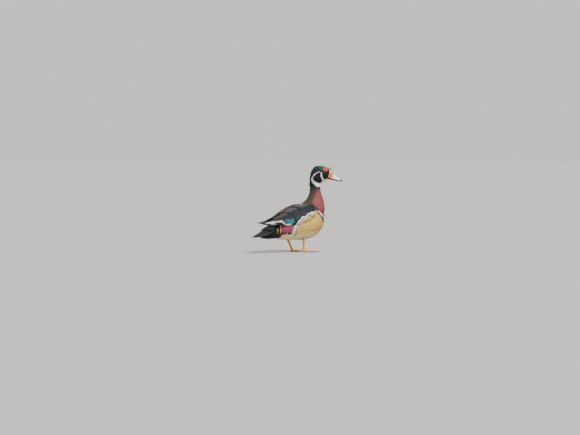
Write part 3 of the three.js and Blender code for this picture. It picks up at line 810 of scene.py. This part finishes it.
def on_neck(p):
    return (p[:, 2] > NECK_FROM) & (p[:, 2] <= HEAD_FROM + OVERLAP)


def on_head(p):
    return (p[:, 2] > HEAD_FROM) & ~near_eye(p) & ~in_bill(p)


# Coats of small feathers: piece, places, spacing, then length, width, lift, slot and form.
COATS = [
    ("feathers_body", on_body, 2.3, body_length, lambda p: 0.66 * body_length(p), 1.0, "torso", LEAF),
    ("feathers_neck", on_neck, 1.1, even(6.0), even(2.1), 0.7, "neck", BARB),
    ("feathers_head", on_head, 0.8, even(3.6), even(1.25), 0.5, "head", BARB),
]
for name, places, spacing, *form in COATS:
    feathers_on_skin(name, scatter(places, spacing), *form)


# Long vanes: flight, tail and crest feathers and the plumes of the flank.
class Vanes:
    """Gathers closed vanes for one piece, with their colours and a bake patch for each."""

    def __init__(self, across=(-1, -0.86, -0.4, 0, 0.4, 0.86, 1), rows=9):
        self.across, self.rows = np.array(across, float), rows
        self.points, self.faces, self.colours, self.gloss, self.vane, self.cells = [], [], [], [], [], []

    def add(self, line, out, width, outline, paint_at, thick=0.35, tilt=0.0, camber=0.5, fine=0.0):
        """Adds a vane along line, with its outward directions; paint_at gives its colours and gloss."""
        rows, v = self.rows, self.across
        ahead = unit(np.gradient(line, axis=0))
        across = unit(np.cross(out, ahead))
        up = unit(np.cross(ahead, across))
        t = np.linspace(0, 1, rows)
        half = width / 2 * np.interp(t, np.linspace(0, 1, len(outline)), outline)
        bow = camber * (1 - v**2) + np.where(np.abs(v) < 0.01, 0.25, 0) + tilt * v
        middle = line[:, None] + across[:, None] * (v * half[:, None])[..., None] + up[:, None] * bow[:, None]
        slim = up[:, None] * (thick / 2 * (1 - 0.7 * t))[:, None, None]
        self.faces += shell_faces(rows, len(v), sum(len(p) for p in self.points))
        self.points.append(np.concatenate([(middle + slim).reshape(-1, 3), (middle - slim).reshape(-1, 3)]))
        grid_v, grid_t = np.tile(v, (rows, 1)), np.tile(t[:, None], (1, len(v)))
        colour, gloss = paint_at(grid_v, grid_t, middle)
        length = np.linalg.norm(line[-1] - line[0])
        self.colours += 2 * [np.clip(colour, 0, 1).reshape(-1, 3)]
        self.gloss += 2 * [gloss.ravel()]
        self.vane += 2 * [stack(grid_v, grid_t * length, fine).reshape(-1, 3)]
        self.cells.append(np.tile(stack(0.5 + 0.42 * grid_v, 0.06 + 0.88 * grid_t).reshape(-1, 2), (2, 1)))

    def piece(self, name, slot, *nodes):
        made = mesh_object(name, np.concatenate(self.points), self.faces)
        set_colours(made, np.concatenate(self.colours), np.concatenate(self.gloss))
        set_vane(made, *np.concatenate(self.vane).T)
        wide = math.ceil(math.sqrt(len(self.cells)))
        set_bake_map(made, np.concatenate([(np.array([k % wide, k // wide]) + cell) / wide
                                           for k, cell in enumerate(self.cells)]))
        dress(made, slot, *nodes)
        return made


def mantle_point(x, turn, side):
    t = mantle_share(x)
    level = smooth(MANTLE["level"], t)
    tall = smooth(MANTLE["top"], t) - level
    return stack(x, side * smooth(MANTLE["half"], t) * np.sin(turn), level + tall * np.cos(turn))


def mantle_out(x, turn, side):
    along = mantle_point(x + 1, turn, side) - mantle_point(x - 1, turn, side)
    across = mantle_point(x, turn + 0.02, side) - mantle_point(x, turn - 0.02, side)
    return unit(side * np.cross(along, across))


def mantle_line(side, root, tip, rows):
    """A line over the wing's surface from root to tip, each (x, degrees round, lift)."""
    t = np.linspace(0, 1, rows)
    x, turn = mix(root[0], tip[0], t), mix(root[1], tip[1], t) * DEG
    out = mantle_out(x, turn, side)
    lift = mix(root[2], tip[2], np.minimum(1, 1.6 * t))
    return mantle_point(x, turn, side) + out * lift[:, None], out


def toned(base, edge=None, edge_from=0.86, tip=None, tip_from=0.84, gloss=0.6, lower=0):
    """Paint for a vane: its base, a colour at both rims or the one that lower names, and a tip colour."""

    def paint_at(v, t, place):
        colour = filled(place, base)
        if edge is not None:
            colour = paint(colour, edge, step(edge_from, 1, v * lower if lower else np.abs(v)))
        if tip is not None:
            colour = paint(colour, tip, step(tip_from, tip_from + 0.06, t))
        # Every vane is painted darker towards its root, as painted shade where it lies under the feathers
        # over it.
        return colour * (0.92 + 0.12 * t[..., None]), np.full(v.shape, gloss)

    return paint_at


SHAPE = [0.55, 0.9, 1, 1, 0.97, 0.9, 0.72, 0.2]
POINTED = [0.55, 0.85, 1, 1, 0.92, 0.78, 0.5, 0.12]
LOCK = [0.6, 1, 1, 0.85, 0.6, 0.1]

# Rows of a folded wing, lowest first: name, feathers, width, tilt and outline, then the root and tip of the
# first feather and of the last one, each as (x, degrees round, lift).
WING_ROWS = [
    ("primaries", 7, 10.5, 0.4, POINTED, (-66, 98, -1.5), (-147, 64, -0.6), (-72, 74, -1.5), (-119, 40, 0.6)),
    ("secondaries", 8, 12, 0.5, SHAPE, (-36, 92, -2), (-88, 98, -0.4), (-34, 58, -2), (-100, 60, 0.6)),
    ("tertials", 5, 17, 0.7, SHAPE, (-14, 56, -2), (-90, 54, 1.1), (-12, 20, -2), (-113, 25, 2.2)),
    ("greater", 9, 11, 0.5, SHAPE, (-20, 84, -2), (-58, 95, 0.6), (-6, 44, -2), (-56, 48, 1.5)),
    ("median", 9, 11, 0.5, SHAPE, (6, 70, -2), (-34, 86, 0.9), (12, 36, -2), (-32, 42, 1.7)),
    ("lesser", 8, 11, 0.5, SHAPE, (26, 58, -2), (-10, 72, 1.2), (32, 30, -2), (-6, 36, 2.0)),
    ("marginal", 7, 10, 0.4, SHAPE, (44, 48, -2), (14, 58, 1.3), (48, 26, -2), (18, 30, 2.2)),
    ("scapulars", 7, 14, 0.7, SHAPE, (6, 42, -1), (-58, 42, 2.2), (2, 11, -1), (-76, 11, 2.4)),
    ("scapulars", 7, 13, 0.6, SHAPE, (36, 44, -1), (-22, 44, 2.7), (34, 12, -1), (-34, 11, 3.0)),
]


def primary_paint(f, side):
    """Black webs, silvery at the tip, and cream outer webs along the folded wing's lower edge."""

    def paint_at(v, t, place):
        at_tip = step(-114, -122, place[..., 0])
        pale = paint(np.array(CREAM), SILVER, at_tip)
        share = np.maximum(at_tip, step(-0.2, 0.2, v * side) * (1 if f < 0.2 else 0.12))
        return paint(filled(place, BLUE_BLACK), pale, share), np.full(v.shape, 0.4)

    return paint_at


def secondary_paint(side):
    """Teal where the speculum shows, black behind it and a white tip."""

    def paint_at(v, t, place):
        x, low = place[..., 0], mantle_round(place)
        teal = step(-83, -79, x) * until(-46, -42, x) * until(0.8, 0.95, v * side) * until(89, 93, low)
        colour = paint(filled(place, BLACK), TEAL, teal)
        colour = paint(colour, CREAM, step(-66, -72, x) * step(94, 96, low))
        return paint(colour, WHITE, step(0.92, 0.95, t)), mix(0.5, 0.85, teal)

    return paint_at


def wing_paint(row, f, side):
    """Paint for a feather of a wing's row, f from 0 for the lowest to 1 for the highest."""
    if row == "primaries":
        return primary_paint(f, side)
    if row == "secondaries":
        return secondary_paint(side)
    if row == "greater":
        return toned(COVERT_BLUE, BLACK, 0.5, BLACK, gloss=0.7)
    if row in ("tertials", "scapulars"):
        shine = 0.7 if row == "tertials" else 0.6
        # Painted highlight: feathers past f of 0.3 get a pale rim on one side, a glint of light on their
        # edges.
        return toned(BLUE_BLACK, EDGE_GLINT if f > 0.3 else None, gloss=shine, lower=side)
    return toned(SHOULDER, SHOULDER_EDGE, 0.7, gloss=0.45)


def make_wing_core(side):
    """The wing under its feathers: a closed shell along the wing's surface."""
    rows, columns = 24, 12
    t, f = np.linspace(0, 1, rows)[:, None], np.linspace(0, 1, columns)[None]
    x = mix(WING["front"], WING["rear"], t) + 0 * f
    turn = mix(smooth(WING["high"], t) + 2, smooth(WING["low"], t) - 2, f) * DEG
    place, out = mantle_point(x, turn, side), mantle_out(x, turn, side)
    points = np.concatenate([(place - depth * out).reshape(-1, 3) for depth in (1.2, 3.2)])
    core = mesh_object(f"wing_core_{SIDES[side]}", points, shell_faces(rows, columns))
    flat = np.zeros(len(points))
    set_colours(core, filled(points, BACK_BRONZE), flat + 0.5)
    set_vane(core, flat, flat, flat)
    dress(core, f"wing_{SIDES[side]}")
    return core


def make_wing(side):
    vanes = Vanes()
    for name, count, width, tilt, outline, *ends in WING_ROWS:
        first, last = np.array(ends, float).reshape(2, 2, 3)
        for k in range(count):
            f = k / (count - 1)
            root, tip = mix(first, last, f)
            tip[0] += 1.5 * RANDOM.normal(0, 0.8)
            line, out = mantle_line(side, root, tip, vanes.rows)
            vanes.add(line, out, width, outline, wing_paint(name, f, side), tilt=side * tilt)
    word = SIDES[side]
    return [vanes.piece(f"wing_feathers_{word}", f"wing_{word}", f"wing_{word}"), make_wing_core(side)]


wings = {side: make_wing(side) for side in SIDES}


def tail_line(lean, drop, length, rows, start=0.0, dip=0.0):
    """A line of the tail's fan: it leans out from the midline, lies lower by drop and curves down by dip."""
    outward = math.sin(lean) / math.sin(TAIL["fan"])
    t = np.linspace(0, 1, rows)
    along = mix(start, length, t)
    ahead = along * math.cos(lean)
    c, s = math.cos(TAIL["pitch"]), math.sin(TAIL["pitch"])
    y = along * math.sin(lean) + TAIL["wide"] * max(-1, min(1, outward))
    line = stack(TAIL["root"][0] - ahead * c, y, TAIL["root"][1] + ahead * s - drop - dip * t * t)
    return line, np.tile(unit(np.array([s, 0.3 * outward, c])), (rows, 1))


# Coverts over and under the tail: feathers, fan in degrees, length, shorter outwards, drop, roof, width, dip.
TAIL_ROWS = [
    (9, 17, 64, 16, -2.6, 8, 12, 1),
    (9, 20, 50, 12, -3.6, 9, 11, 2),
    (8, 22, 34, 8, -4.6, 9, 11, 2),
    (7, 10, 72, 12, 29, -7, 12, -10),
    (7, 12, 54, 10, 33, -10, 11, -5),
]


def make_tail():
    vanes = Vanes()
    for k in range(-TAIL["pairs"], TAIL["pairs"] + 1):
        f = k / TAIL["pairs"]
        length = TAIL["length"] - TAIL["shorter"] * abs(f) ** 1.7
        line, out = tail_line(TAIL["fan"] * f, 1.2 * abs(k), length, vanes.rows)
        vanes.add(line, out, TAIL["vane"], SHAPE, toned(TAIL_BRONZE, TAIL_EDGE, 0.8), thick=0.4)
    for count, fan, length, shorter, drop, roof, width, dip in TAIL_ROWS:
        for k in range(count):
            f = 2 * k / (count - 1) - 1
            line, out = tail_line(fan * DEG * f, drop + roof * f * f, length - shorter * f * f, vanes.rows,
                                  TAIL["coverts"], dip)
            vanes.add(line, out, width, SHAPE, toned(COVERT_GREEN, gloss=0.65))
    vanes.piece("tail_feathers", "tail", "tail")


make_tail()


def surface_of(pieces):
    """A search tree over several pieces as one surface."""
    points, faces, start = [], [], 0
    for piece in pieces:
        points.append(bird_points(piece))
        faces += [[start + v for v in f.vertices] for f in piece.data.polygons]
        start += len(points[-1])
    return BVHTree.FromPolygons(np.concatenate(points).tolist(), faces)


# A distance to the side that is outside the whole bird.
OUTSIDE = 120


def side_line(tree, side, x, z):
    """A path in side view laid on the outermost surface of that side, softened so that it bridges steps."""
    y = np.empty(len(x))
    for k in range(len(x)):
        hit = tree.ray_cast(Vector((x[k], side * OUTSIDE, z[k])), Vector((0, -side, 0)))[0]
        y[k] = side * hit[1] if hit else y[k - 1]
    for _ in range(3):
        padded = np.concatenate([[2 * y[0] - y[1]], y, [2 * y[-1] - y[-2]]])
        y = np.maximum(y, (padded[:-2] + 2 * padded[1:-1] + padded[2:]) / 4)
    line = np.stack([x, side * y, z], -1)
    return line, snap(line)[1]


def barred(v, t, place):
    """Buff with a black band, a white one and a thin black rim at the tip."""
    wave = t + 0.05 * v * v
    bands = [(BLACK, step(0.64, 0.68, wave)), (WHITE, step(0.76, 0.79, wave)),
             (BLACK, step(0.94, 0.97, wave))]
    return painted(filled(place, BUFF), bands), np.full(v.shape, 0.15)


# Plumes of the flank, inner row last: feathers, (back, down), length, width, lift.
FLANK_ROWS = [(32, (5.5, -3.5), 20, 5.5, 1.0), (34, (0, 0), 25, 6, 0.7)]
# Drooping plumes of the rump: top and low end as (ahead, height), width, colour.
RUMP_PLUMES = [((-90, 79), (-92, 52), 2.8, ORANGE), ((-97, 77), (-102, 54), 2.2, BUFF)]


def make_flank(side):
    """Barred plumes of the flank that fold up over the wing, and drooping plumes beside the tail's root."""
    tree = surface_of([skin, *wings[side]])
    vanes = Vanes(rows=21)
    t = np.linspace(0, 1, vanes.rows)
    edge = np.array(PLUME_EDGE, float).T
    for count, back, length, width, lift in FLANK_ROWS:
        for k in range(count):
            f = np.array(k / (count - 1))
            tip = np.array([smooth(ahead_or_height, float(f)) for ahead_or_height in edge]) + back
            tip += RANDOM.normal(0, 0.9, 2)
            fall = mix(-0.35, 0.05, step(0.5, 1, f))
            reach = length * float(mix(0.4, 1, step(0, 0.22, f)))
            root = tip + reach * np.array([math.cos(fall), math.sin(fall)])
            x, z = mix(root[0], tip[0], t), mix(root[1], tip[1], t) - 1.5 * np.sin(math.pi * t)
            line, out = side_line(tree, side, x, z)
            rise = np.interp(t, [0, 0.4, 1], [-1.5, 0.6 * lift, lift])
            vanes.add(line + out * rise[:, None], out, width, SHAPE, barred, camber=0.2, fine=0.7)
    for (x0, z0), (x1, z1), width, colour in RUMP_PLUMES:
        line, out = side_line(tree, side, mix(x0, x1, np.sqrt(t)), mix(z0, z1, t))
        rise = np.interp(t, [0, 0.3, 1], [-0.6, 1.4, 1.6])
        vanes.add(line + out * rise[:, None], out, width, POINTED, toned(colour, gloss=0.2))
    vanes.piece(f"flank_plumes_{SIDES[side]}", "torso")


for side in SIDES:
    make_flank(side)


def crest_line(lean, start, end, lift, rows):
    """A line down the back of the head and nape, leaning out to a side."""
    t = np.linspace(0, 1, rows)
    s = mix(start, end, t)
    core = stack(smooth(CREST["core_x"], s), 0.0, smooth(CREST["core_z"], s))
    back = stack(smooth(CREST["back_x"], s), 0.0, smooth(CREST["back_z"], s))
    out = (back - core) * math.cos(lean) + stack(0.0, smooth(CREST["wide"], s) * math.sin(lean), 0.0)
    place = core + out
    out = unit(out)
    place = place + out * mix(-1.2, lift, np.minimum(1, 2.5 * t))[:, None]
    return from_head(place), from_head(out) - HEAD_PIVOT


# Layers of the crest, lowest first: locks, spread in degrees, start and end down the head, lift.
CREST_ROWS = [(72, 62, 0.34, 1.0, 0.2), (72, 60, 0.18, 0.9, 0.6), (64, 54, 0.04, 0.72, 1.0),
              (48, 44, 0.0, 0.5, 1.3)]


def crest_paint(line):
    """Each lock has the head's markings along its middle."""

    def paint_at(v, t, place):
        colour, gloss, _ = head_markings(line)
        return np.repeat(colour[:, None], v.shape[1], 1), np.repeat(gloss[:, None], v.shape[1], 1)

    return paint_at


def make_crest():
    vanes = Vanes(across=(-1, 0, 1), rows=11)
    for count, spread, start, end, lift in CREST_ROWS:
        for k in range(count):
            f = 2 * k / (count - 1) - 1
            lean = (spread * f + RANDOM.normal(0, 1.2)) * DEG
            stop = min(end - 0.12 * f * f - 0.05 * RANDOM.random(), 1)
            line, out = crest_line(lean, start + RANDOM.normal(0, 0.02), stop, lift, vanes.rows)
            vanes.add(line, out, CREST["lock"], LOCK, crest_paint(line), thick=0.3, camber=0.25)
    vanes.piece("crest", "head")


make_crest()


# Bill, eyes and lids, legs: bare parts with smooth shapes of their own.
def bare_material(name, roughness, kind, scale, bump, **values):
    """A bare part's own colours with a fine skin or horn surface."""
    material, tree, shader = principled(name, roughness=roughness, **values)
    tone = textured(tree, "ShaderNodeTexNoise", Scale=350.0, Detail=5.0)
    stored_colour(tree, shader, ranged(tree, tone.outputs[0], To_Min=0.8, To_Max=1.2))
    grain = textured(tree, kind, Scale=scale)
    if kind == "ShaderNodeTexVoronoi":
        grain.feature = "DISTANCE_TO_EDGE"
    raised(tree, shader, grain.outputs[0], bump, 0.0004)
    return material


HORN = bare_material("bill_horn", 0.4, "ShaderNodeTexNoise", 900.0, 0.12,
                     Coat_Weight=0.1, Specular_IOR_Level=0.35)
LEG_SKIN = bare_material("leg_skin", 0.45, "ShaderNodeTexVoronoi", 620.0, 0.5)
LID = principled("eyelid", LID_RED, roughness=0.5)[0]
NOSTRIL = (10, 8.3)


def bill_point(along, side, above):
    c, s = math.cos(BILL["pitch"]), math.sin(BILL["pitch"])
    return stack(BILL["corner"][0] + along * c - above * s, side, BILL["corner"][1] + along * s + above * c)


def at_nostril(along, above, long, tall):
    """1 in the middle of the nostril, falling off over its length and height."""
    return np.exp(-(((along - NOSTRIL[0]) / long) ** 2 + ((above - NOSTRIL[1]) / tall) ** 2))


def upper_colours(along, width, above, near):
    """Colours of the upper bill by how near a place is to the feathers: yellow, red, pink, then white."""
    yellow = mix(1.2, 7.5, step(12, 21, above))
    fields = [(BILL_PINK, until(10, 13, near)), (BILL_RED, until(7.5, 10.5, near)),
              (BILL_YELLOW, until(yellow, 1.25 * yellow, near)),
              (BLACK, until(1.7, 2.5, width) * step(0.8, 1.6, above)), (BLACK, step(28.5, 30.5, along)),
              (BILL_RED, 0.6 * until(0.6, 2.2, above) * until(25, 28, along)),
              (BLACK, at_nostril(along, above, 1.9, 0.8))]
    return painted(np.zeros((len(along), 3)) + BILL_WHITE, fields)


def make_bill(name):
    """Half a bill with its rounded edge, the upper one with its nostrils pressed in and a raised nail."""
    upper = name == "bill_upper"
    t, turn = grid(101, 64)
    along, rise = smooth(BILL["along"], t) + 0 * turn, np.sin(turn)
    width = smooth(BILL["half"], t) * (1 if upper else 0.86) * np.cos(turn)
    if upper:
        above = np.where(rise > 0, smooth(BILL["ridge"], t) * np.maximum(rise, 0) ** 1.25, 0.6 * rise)
        width = width * (1 - 0.25 * np.maximum(rise, 0))
        width = width * (1 - 0.28 * at_nostril(along, above, 2.6, 1.1) * np.clip(np.abs(width) / 3, 0, 1))
        above = above + 0.35 * step(30.5, 32, along) * until(2.4, 3.2, np.abs(width)) * step(0, 0.5, rise)
    else:
        along = along * 0.965
        above = -0.9 + np.where(rise > 0, 0, smooth(BILL["jaw"], t) * rise)
    points = from_head(bill_point(along, width, above)).reshape(-1, 3)
    piece = mesh_object(f"{name}_horn", points, ring_faces(*along.shape))
    colour = filled(points, BLACK)
    if upper:
        near = np.array([TREE.find_nearest(Vector(q))[3] for q in points])
        colour = upper_colours(along.ravel(), np.abs(width).ravel(), above.ravel(), near)
    set_colours(piece, colour, 0.6)
    dress(piece, name, name, material=HORN)


for name in ("bill_upper", "bill_lower"):
    make_bill(name)


def eye_axes(side):
    """The way an eye looks, forward along its lids and up across them, in the head's frame."""
    yaw, tilt = EYE["yaw"], EYE["tilt"]
    out = np.array([math.sin(yaw) * math.cos(tilt), side * math.cos(yaw) * math.cos(tilt), math.sin(tilt)])
    ahead = unit(np.array([math.cos(yaw), -side * math.sin(yaw), 0]))
    up = np.cross(out, ahead)
    return out, ahead, up * np.sign(up[2])


def make_eye(side):
    """The eyeball, with its pupil and the iris's dark rims as rings round the way it looks."""
    name = f"eye_{SIDES[side]}"
    radius = EYE["radius"] - EYE["inset"]
    rows, around = 60, 64
    polar, turn = np.linspace(0.02, math.pi - 0.02, rows)[:, None], grid(2, around)[1]
    out, ahead, up = eye_axes(side)
    local = (np.cos(polar)[..., None] * out + (np.sin(polar) * np.cos(turn))[..., None] * ahead
             + (np.sin(polar) * np.sin(turn))[..., None] * up)
    piece = mesh_object(f"eyeball_{SIDES[side]}", from_head(eye_centre(side) + radius * local),
                        ring_faces(rows, around))
    off = np.repeat(radius * np.sin(polar), around)
    front = np.repeat(polar, around) < math.pi / 2
    colour = np.zeros((len(off), 3)) + IRIS_RED
    colour = paint(colour, IRIS_RIM, np.maximum(until(2.1, 2.6, off), step(3.7, 4.4, off)))
    set_colours(piece, paint(colour, PUPIL, until(1.75, 1.95, off) * front), 1.0)
    material, tree, shader = principled(name, roughness=0.12, Coat_Weight=0.8, Coat_Roughness=0.02)
    stored_colour(tree, shader)
    dress(piece, name, name, material=material)


def make_lid(side):
    """Bare lids: a low fleshy ring on the eyeball's rim, longer than it is high, with fine folds."""
    around, thick = 72, 18
    a, b = grid(2, around)[1].T, grid(2, thick)[1]
    reach = 5.2 + 1.25 * np.cos(b)
    folds = 0.06 * np.cos(24 * a) * np.clip(np.sin(b), 0, 1)
    height = 3.9 + 0.5 * np.sin(b) - 0.75 * np.cos(b) + folds
    corner = 1.05 + 0.1 * np.cos(a) ** 8
    out, ahead, up = eye_axes(side)
    local = (corner * reach * np.cos(a))[..., None] * ahead + (0.87 * reach * np.sin(a))[..., None] * up
    points = from_head(eye_centre(side) + local + height[..., None] * out)
    at = np.arange(around * thick).reshape(around, thick)
    quads = [at, np.roll(at, -1, 0), np.roll(at, (-1, -1), (0, 1)), np.roll(at, -1, 1)]
    piece = mesh_object(f"eyelid_{SIDES[side]}", points, np.stack(quads, -1).reshape(-1, 4))
    dress(piece, "head", material=LID)


for side in SIDES:
    make_eye(side)
    make_lid(side)


# Lower thigh, shank, toe and hind toe, each as (share, radius), and a claw, as (share, radius, height).
CALF = [(0.7, 3.2), (0.9, 3.5), (1.02, 3.3)]
SHANK = [(-0.08, 2.8), (0.0, 4.2), (0.1, 3.9), (0.3, 3.2), (0.6, 3.1), (0.88, 3.3), (1.05, 3.5)]
TOE = [(0, 3.2), (0.12, 2.9), (0.28, 2.6), (0.33, 3.0), (0.45, 2.3), (0.56, 2.2), (0.61, 2.6), (0.72, 2.0),
       (0.8, 2.1), (0.86, 1.5)]
CLAW = [(0.8, 1.3, 2.4), (0.88, 1.15, 2.5), (0.95, 0.8, 1.7), (1.0, 0.35, 0.8)]
HIND = [(0, 1.7), (0.6, 1.4), (1, 0.6)]
WEB_ROWS = 9
LEG_VOXEL, LEG_ROUNDS = 0.55, 3


def toe_reach(base, angle, length, z):
    return np.array([base[0] + length * math.cos(angle), base[1] + length * math.sin(angle), z])


def web_between(base, a, b):
    """The web between two toes' tips, thin, and hollow along its front edge."""
    scoop = mix(mix(a, b, 0.5), base, 0.16)
    rings = []
    for f in np.linspace(0.06, 1, WEB_ROWS):
        ends = mix(base, a, f), mix(base, b, f)
        hollow = mix(base, scoop, f) - mix(ends[0], ends[1], 0.5)
        row = [mix(ends[0], ends[1], g) + hollow * math.sin(math.pi * g) for g in np.linspace(0, 1, WEB_ROWS)]
        rings.append([p + [0, 0, 0.7] for p in row] + [p - [0, 0, 1.6] for p in reversed(row)])
    return np.array(rings)


def leg_shapes(leg, base):
    """Shank, foot, hind toe, toes with knuckles and claws, and webs as closed tubes of rings."""
    knee, heel, ankle = (np.array(leg[k], float) for k in ("knee", "heel", "ankle"))
    back = (leg["turn"] + 180) * DEG
    shapes = [
        tube_along(lambda t: mix(knee, heel, t), CALF),
        tube_along(lambda t: mix(heel, ankle, t), SHANK),
        tube([ankle + [0, 0, 1], base], [3.2, 3.5]),
        tube_along(lambda t: toe_reach(base, back, HIND_TOE * t, mix(4.4, 1.6, t)), HIND, 10),
    ]
    tips = []
    for lean, length in TOES:
        angle = (leg["turn"] + lean * leg["side"]) * DEG
        claw = [toe_reach(base, angle, length * t, z) for t, _, z in CLAW]
        shapes.append(tube_along(lambda t: toe_reach(base, angle, length * t, mix(2.6, 1.3, t)), TOE, 12))
        shapes.append(tube(claw, [radius for _, radius, _ in CLAW], 10))
        tips.append(toe_reach(base, angle, length * 0.84, 1.0))
    flat_base = base * [1, 1, 0] + [0, 0, 1]
    return shapes + [web_between(flat_base, a, b) for a, b in zip(tips, tips[1:])]


def make_leg(word, leg):
    """A leg and its foot as one skin, with its sole cut flat on the ground."""
    base = np.array([leg["ankle"][0] + 1, leg["ankle"][1], 3.2])
    piece = fused(f"leg_skin_{word}", leg_shapes(leg, base), LEG_VOXEL, LEG_ROUNDS)
    for vertex, p in zip(piece.data.vertices, bird_points(piece)):
        if p[2] < 0:
            vertex.co.z = 0.0
    points = bird_points(piece)
    z = points[:, 2]
    out = np.linalg.norm(points[:, :2] - base[:2], axis=1)
    longest = max(length for _, length in TOES)
    fields = [(WEB, 0.85 * step(7, 12, out) * until(2.0, 2.6, z)),
              (HEEL, 0.5 * np.exp(-((z - leg["heel"][2]) / 4.5) ** 2)),
              (BLACK, 0.9 * step(0.86, 0.9, out / longest))]
    set_colours(piece, painted(filled(points, LEG_YELLOW), fields), 0.4)
    dress(piece, f"leg_{word}", f"leg_{word}", f"foot_{word}", material=LEG_SKIN)


for word, leg in LEGS.items():
    make_leg(word, leg)


# Floor, light and camera.
FLOOR_HALF = 60


def make_floor():
    mesh = bpy.data.meshes.new("floor")
    corners = [(-1, -1), (1, -1), (1, 1), (-1, 1)]
    mesh.from_pydata([(FLOOR_HALF * x, FLOOR_HALF * y, 0) for x, y in corners], [], [(0, 1, 2, 3)])
    floor = bpy.data.objects.new("floor", mesh)
    bpy.context.scene.collection.objects.link(floor)
    mesh.materials.append(principled("floor", FLOOR_GREY, roughness=1.0, Specular_IOR_Level=0.0)[0])


def aim(thing, target):
    thing.rotation_euler = (Vector(target) - thing.location).to_track_quat("-Z", "Y").to_euler()


def add_sun(name, way, strength, spread, colour=(1, 1, 1)):
    """A soft light from the given way, spread over some degrees."""
    light = bpy.data.lights.new(name, "SUN")
    light.energy, light.angle, light.color = strength, spread * DEG, colour
    lamp = bpy.data.objects.new(name, light)
    lamp.location = 3 * unit(np.array(way, float))
    bpy.context.scene.collection.objects.link(lamp)
    aim(lamp, (0, 0, 0))


def view_axes():
    """From the bird to the camera, and to the picture's right."""
    a, e = VIEW["azimuth"], VIEW["height"]
    back = np.array([math.sin(a) * math.cos(e), -math.cos(a) * math.cos(e), math.sin(e)])
    return back, np.array([math.cos(a), math.sin(a), 0])


def make_camera():
    back, right = view_axes()
    target = (SHIFT + right * VIEW["across"] + [0, 0, VIEW["up"]]) / 1000
    camera = bpy.data.cameras.new("camera")
    camera.lens = VIEW["lens"]
    camera.sensor_width = 36
    camera.clip_end = 200
    holder = bpy.data.objects.new("camera", camera)
    holder.location = target + back * (FRAME_WIDE / 1000 * camera.lens / camera.sensor_width)
    bpy.context.scene.collection.objects.link(holder)
    aim(holder, target)
    bpy.context.scene.camera = holder


def make_light():
    back, right = view_axes()
    add_sun("key", 0.9 * right + 1.0 * back + [0, 0, 1.5], 4.3, 14, (1, 0.975, 0.94))
    add_sun("fill", -1.5 * right + 0.9 * back + [0, 0, 0.7], 0.85, 40, (0.94, 0.97, 1))
    add_sun("rim", 0.3 * right - 1.4 * back + [0, 0, 1.2], 0.8, 30)
    world = bpy.data.worlds.new("studio")
    world.use_nodes = True
    sky = world.node_tree.nodes["Background"]
    sky.inputs["Color"].default_value = (1, 0.995, 0.985, 1)
    sky.inputs["Strength"].default_value = 0.845
    bpy.context.scene.world = world


make_floor()
make_light()
make_camera()
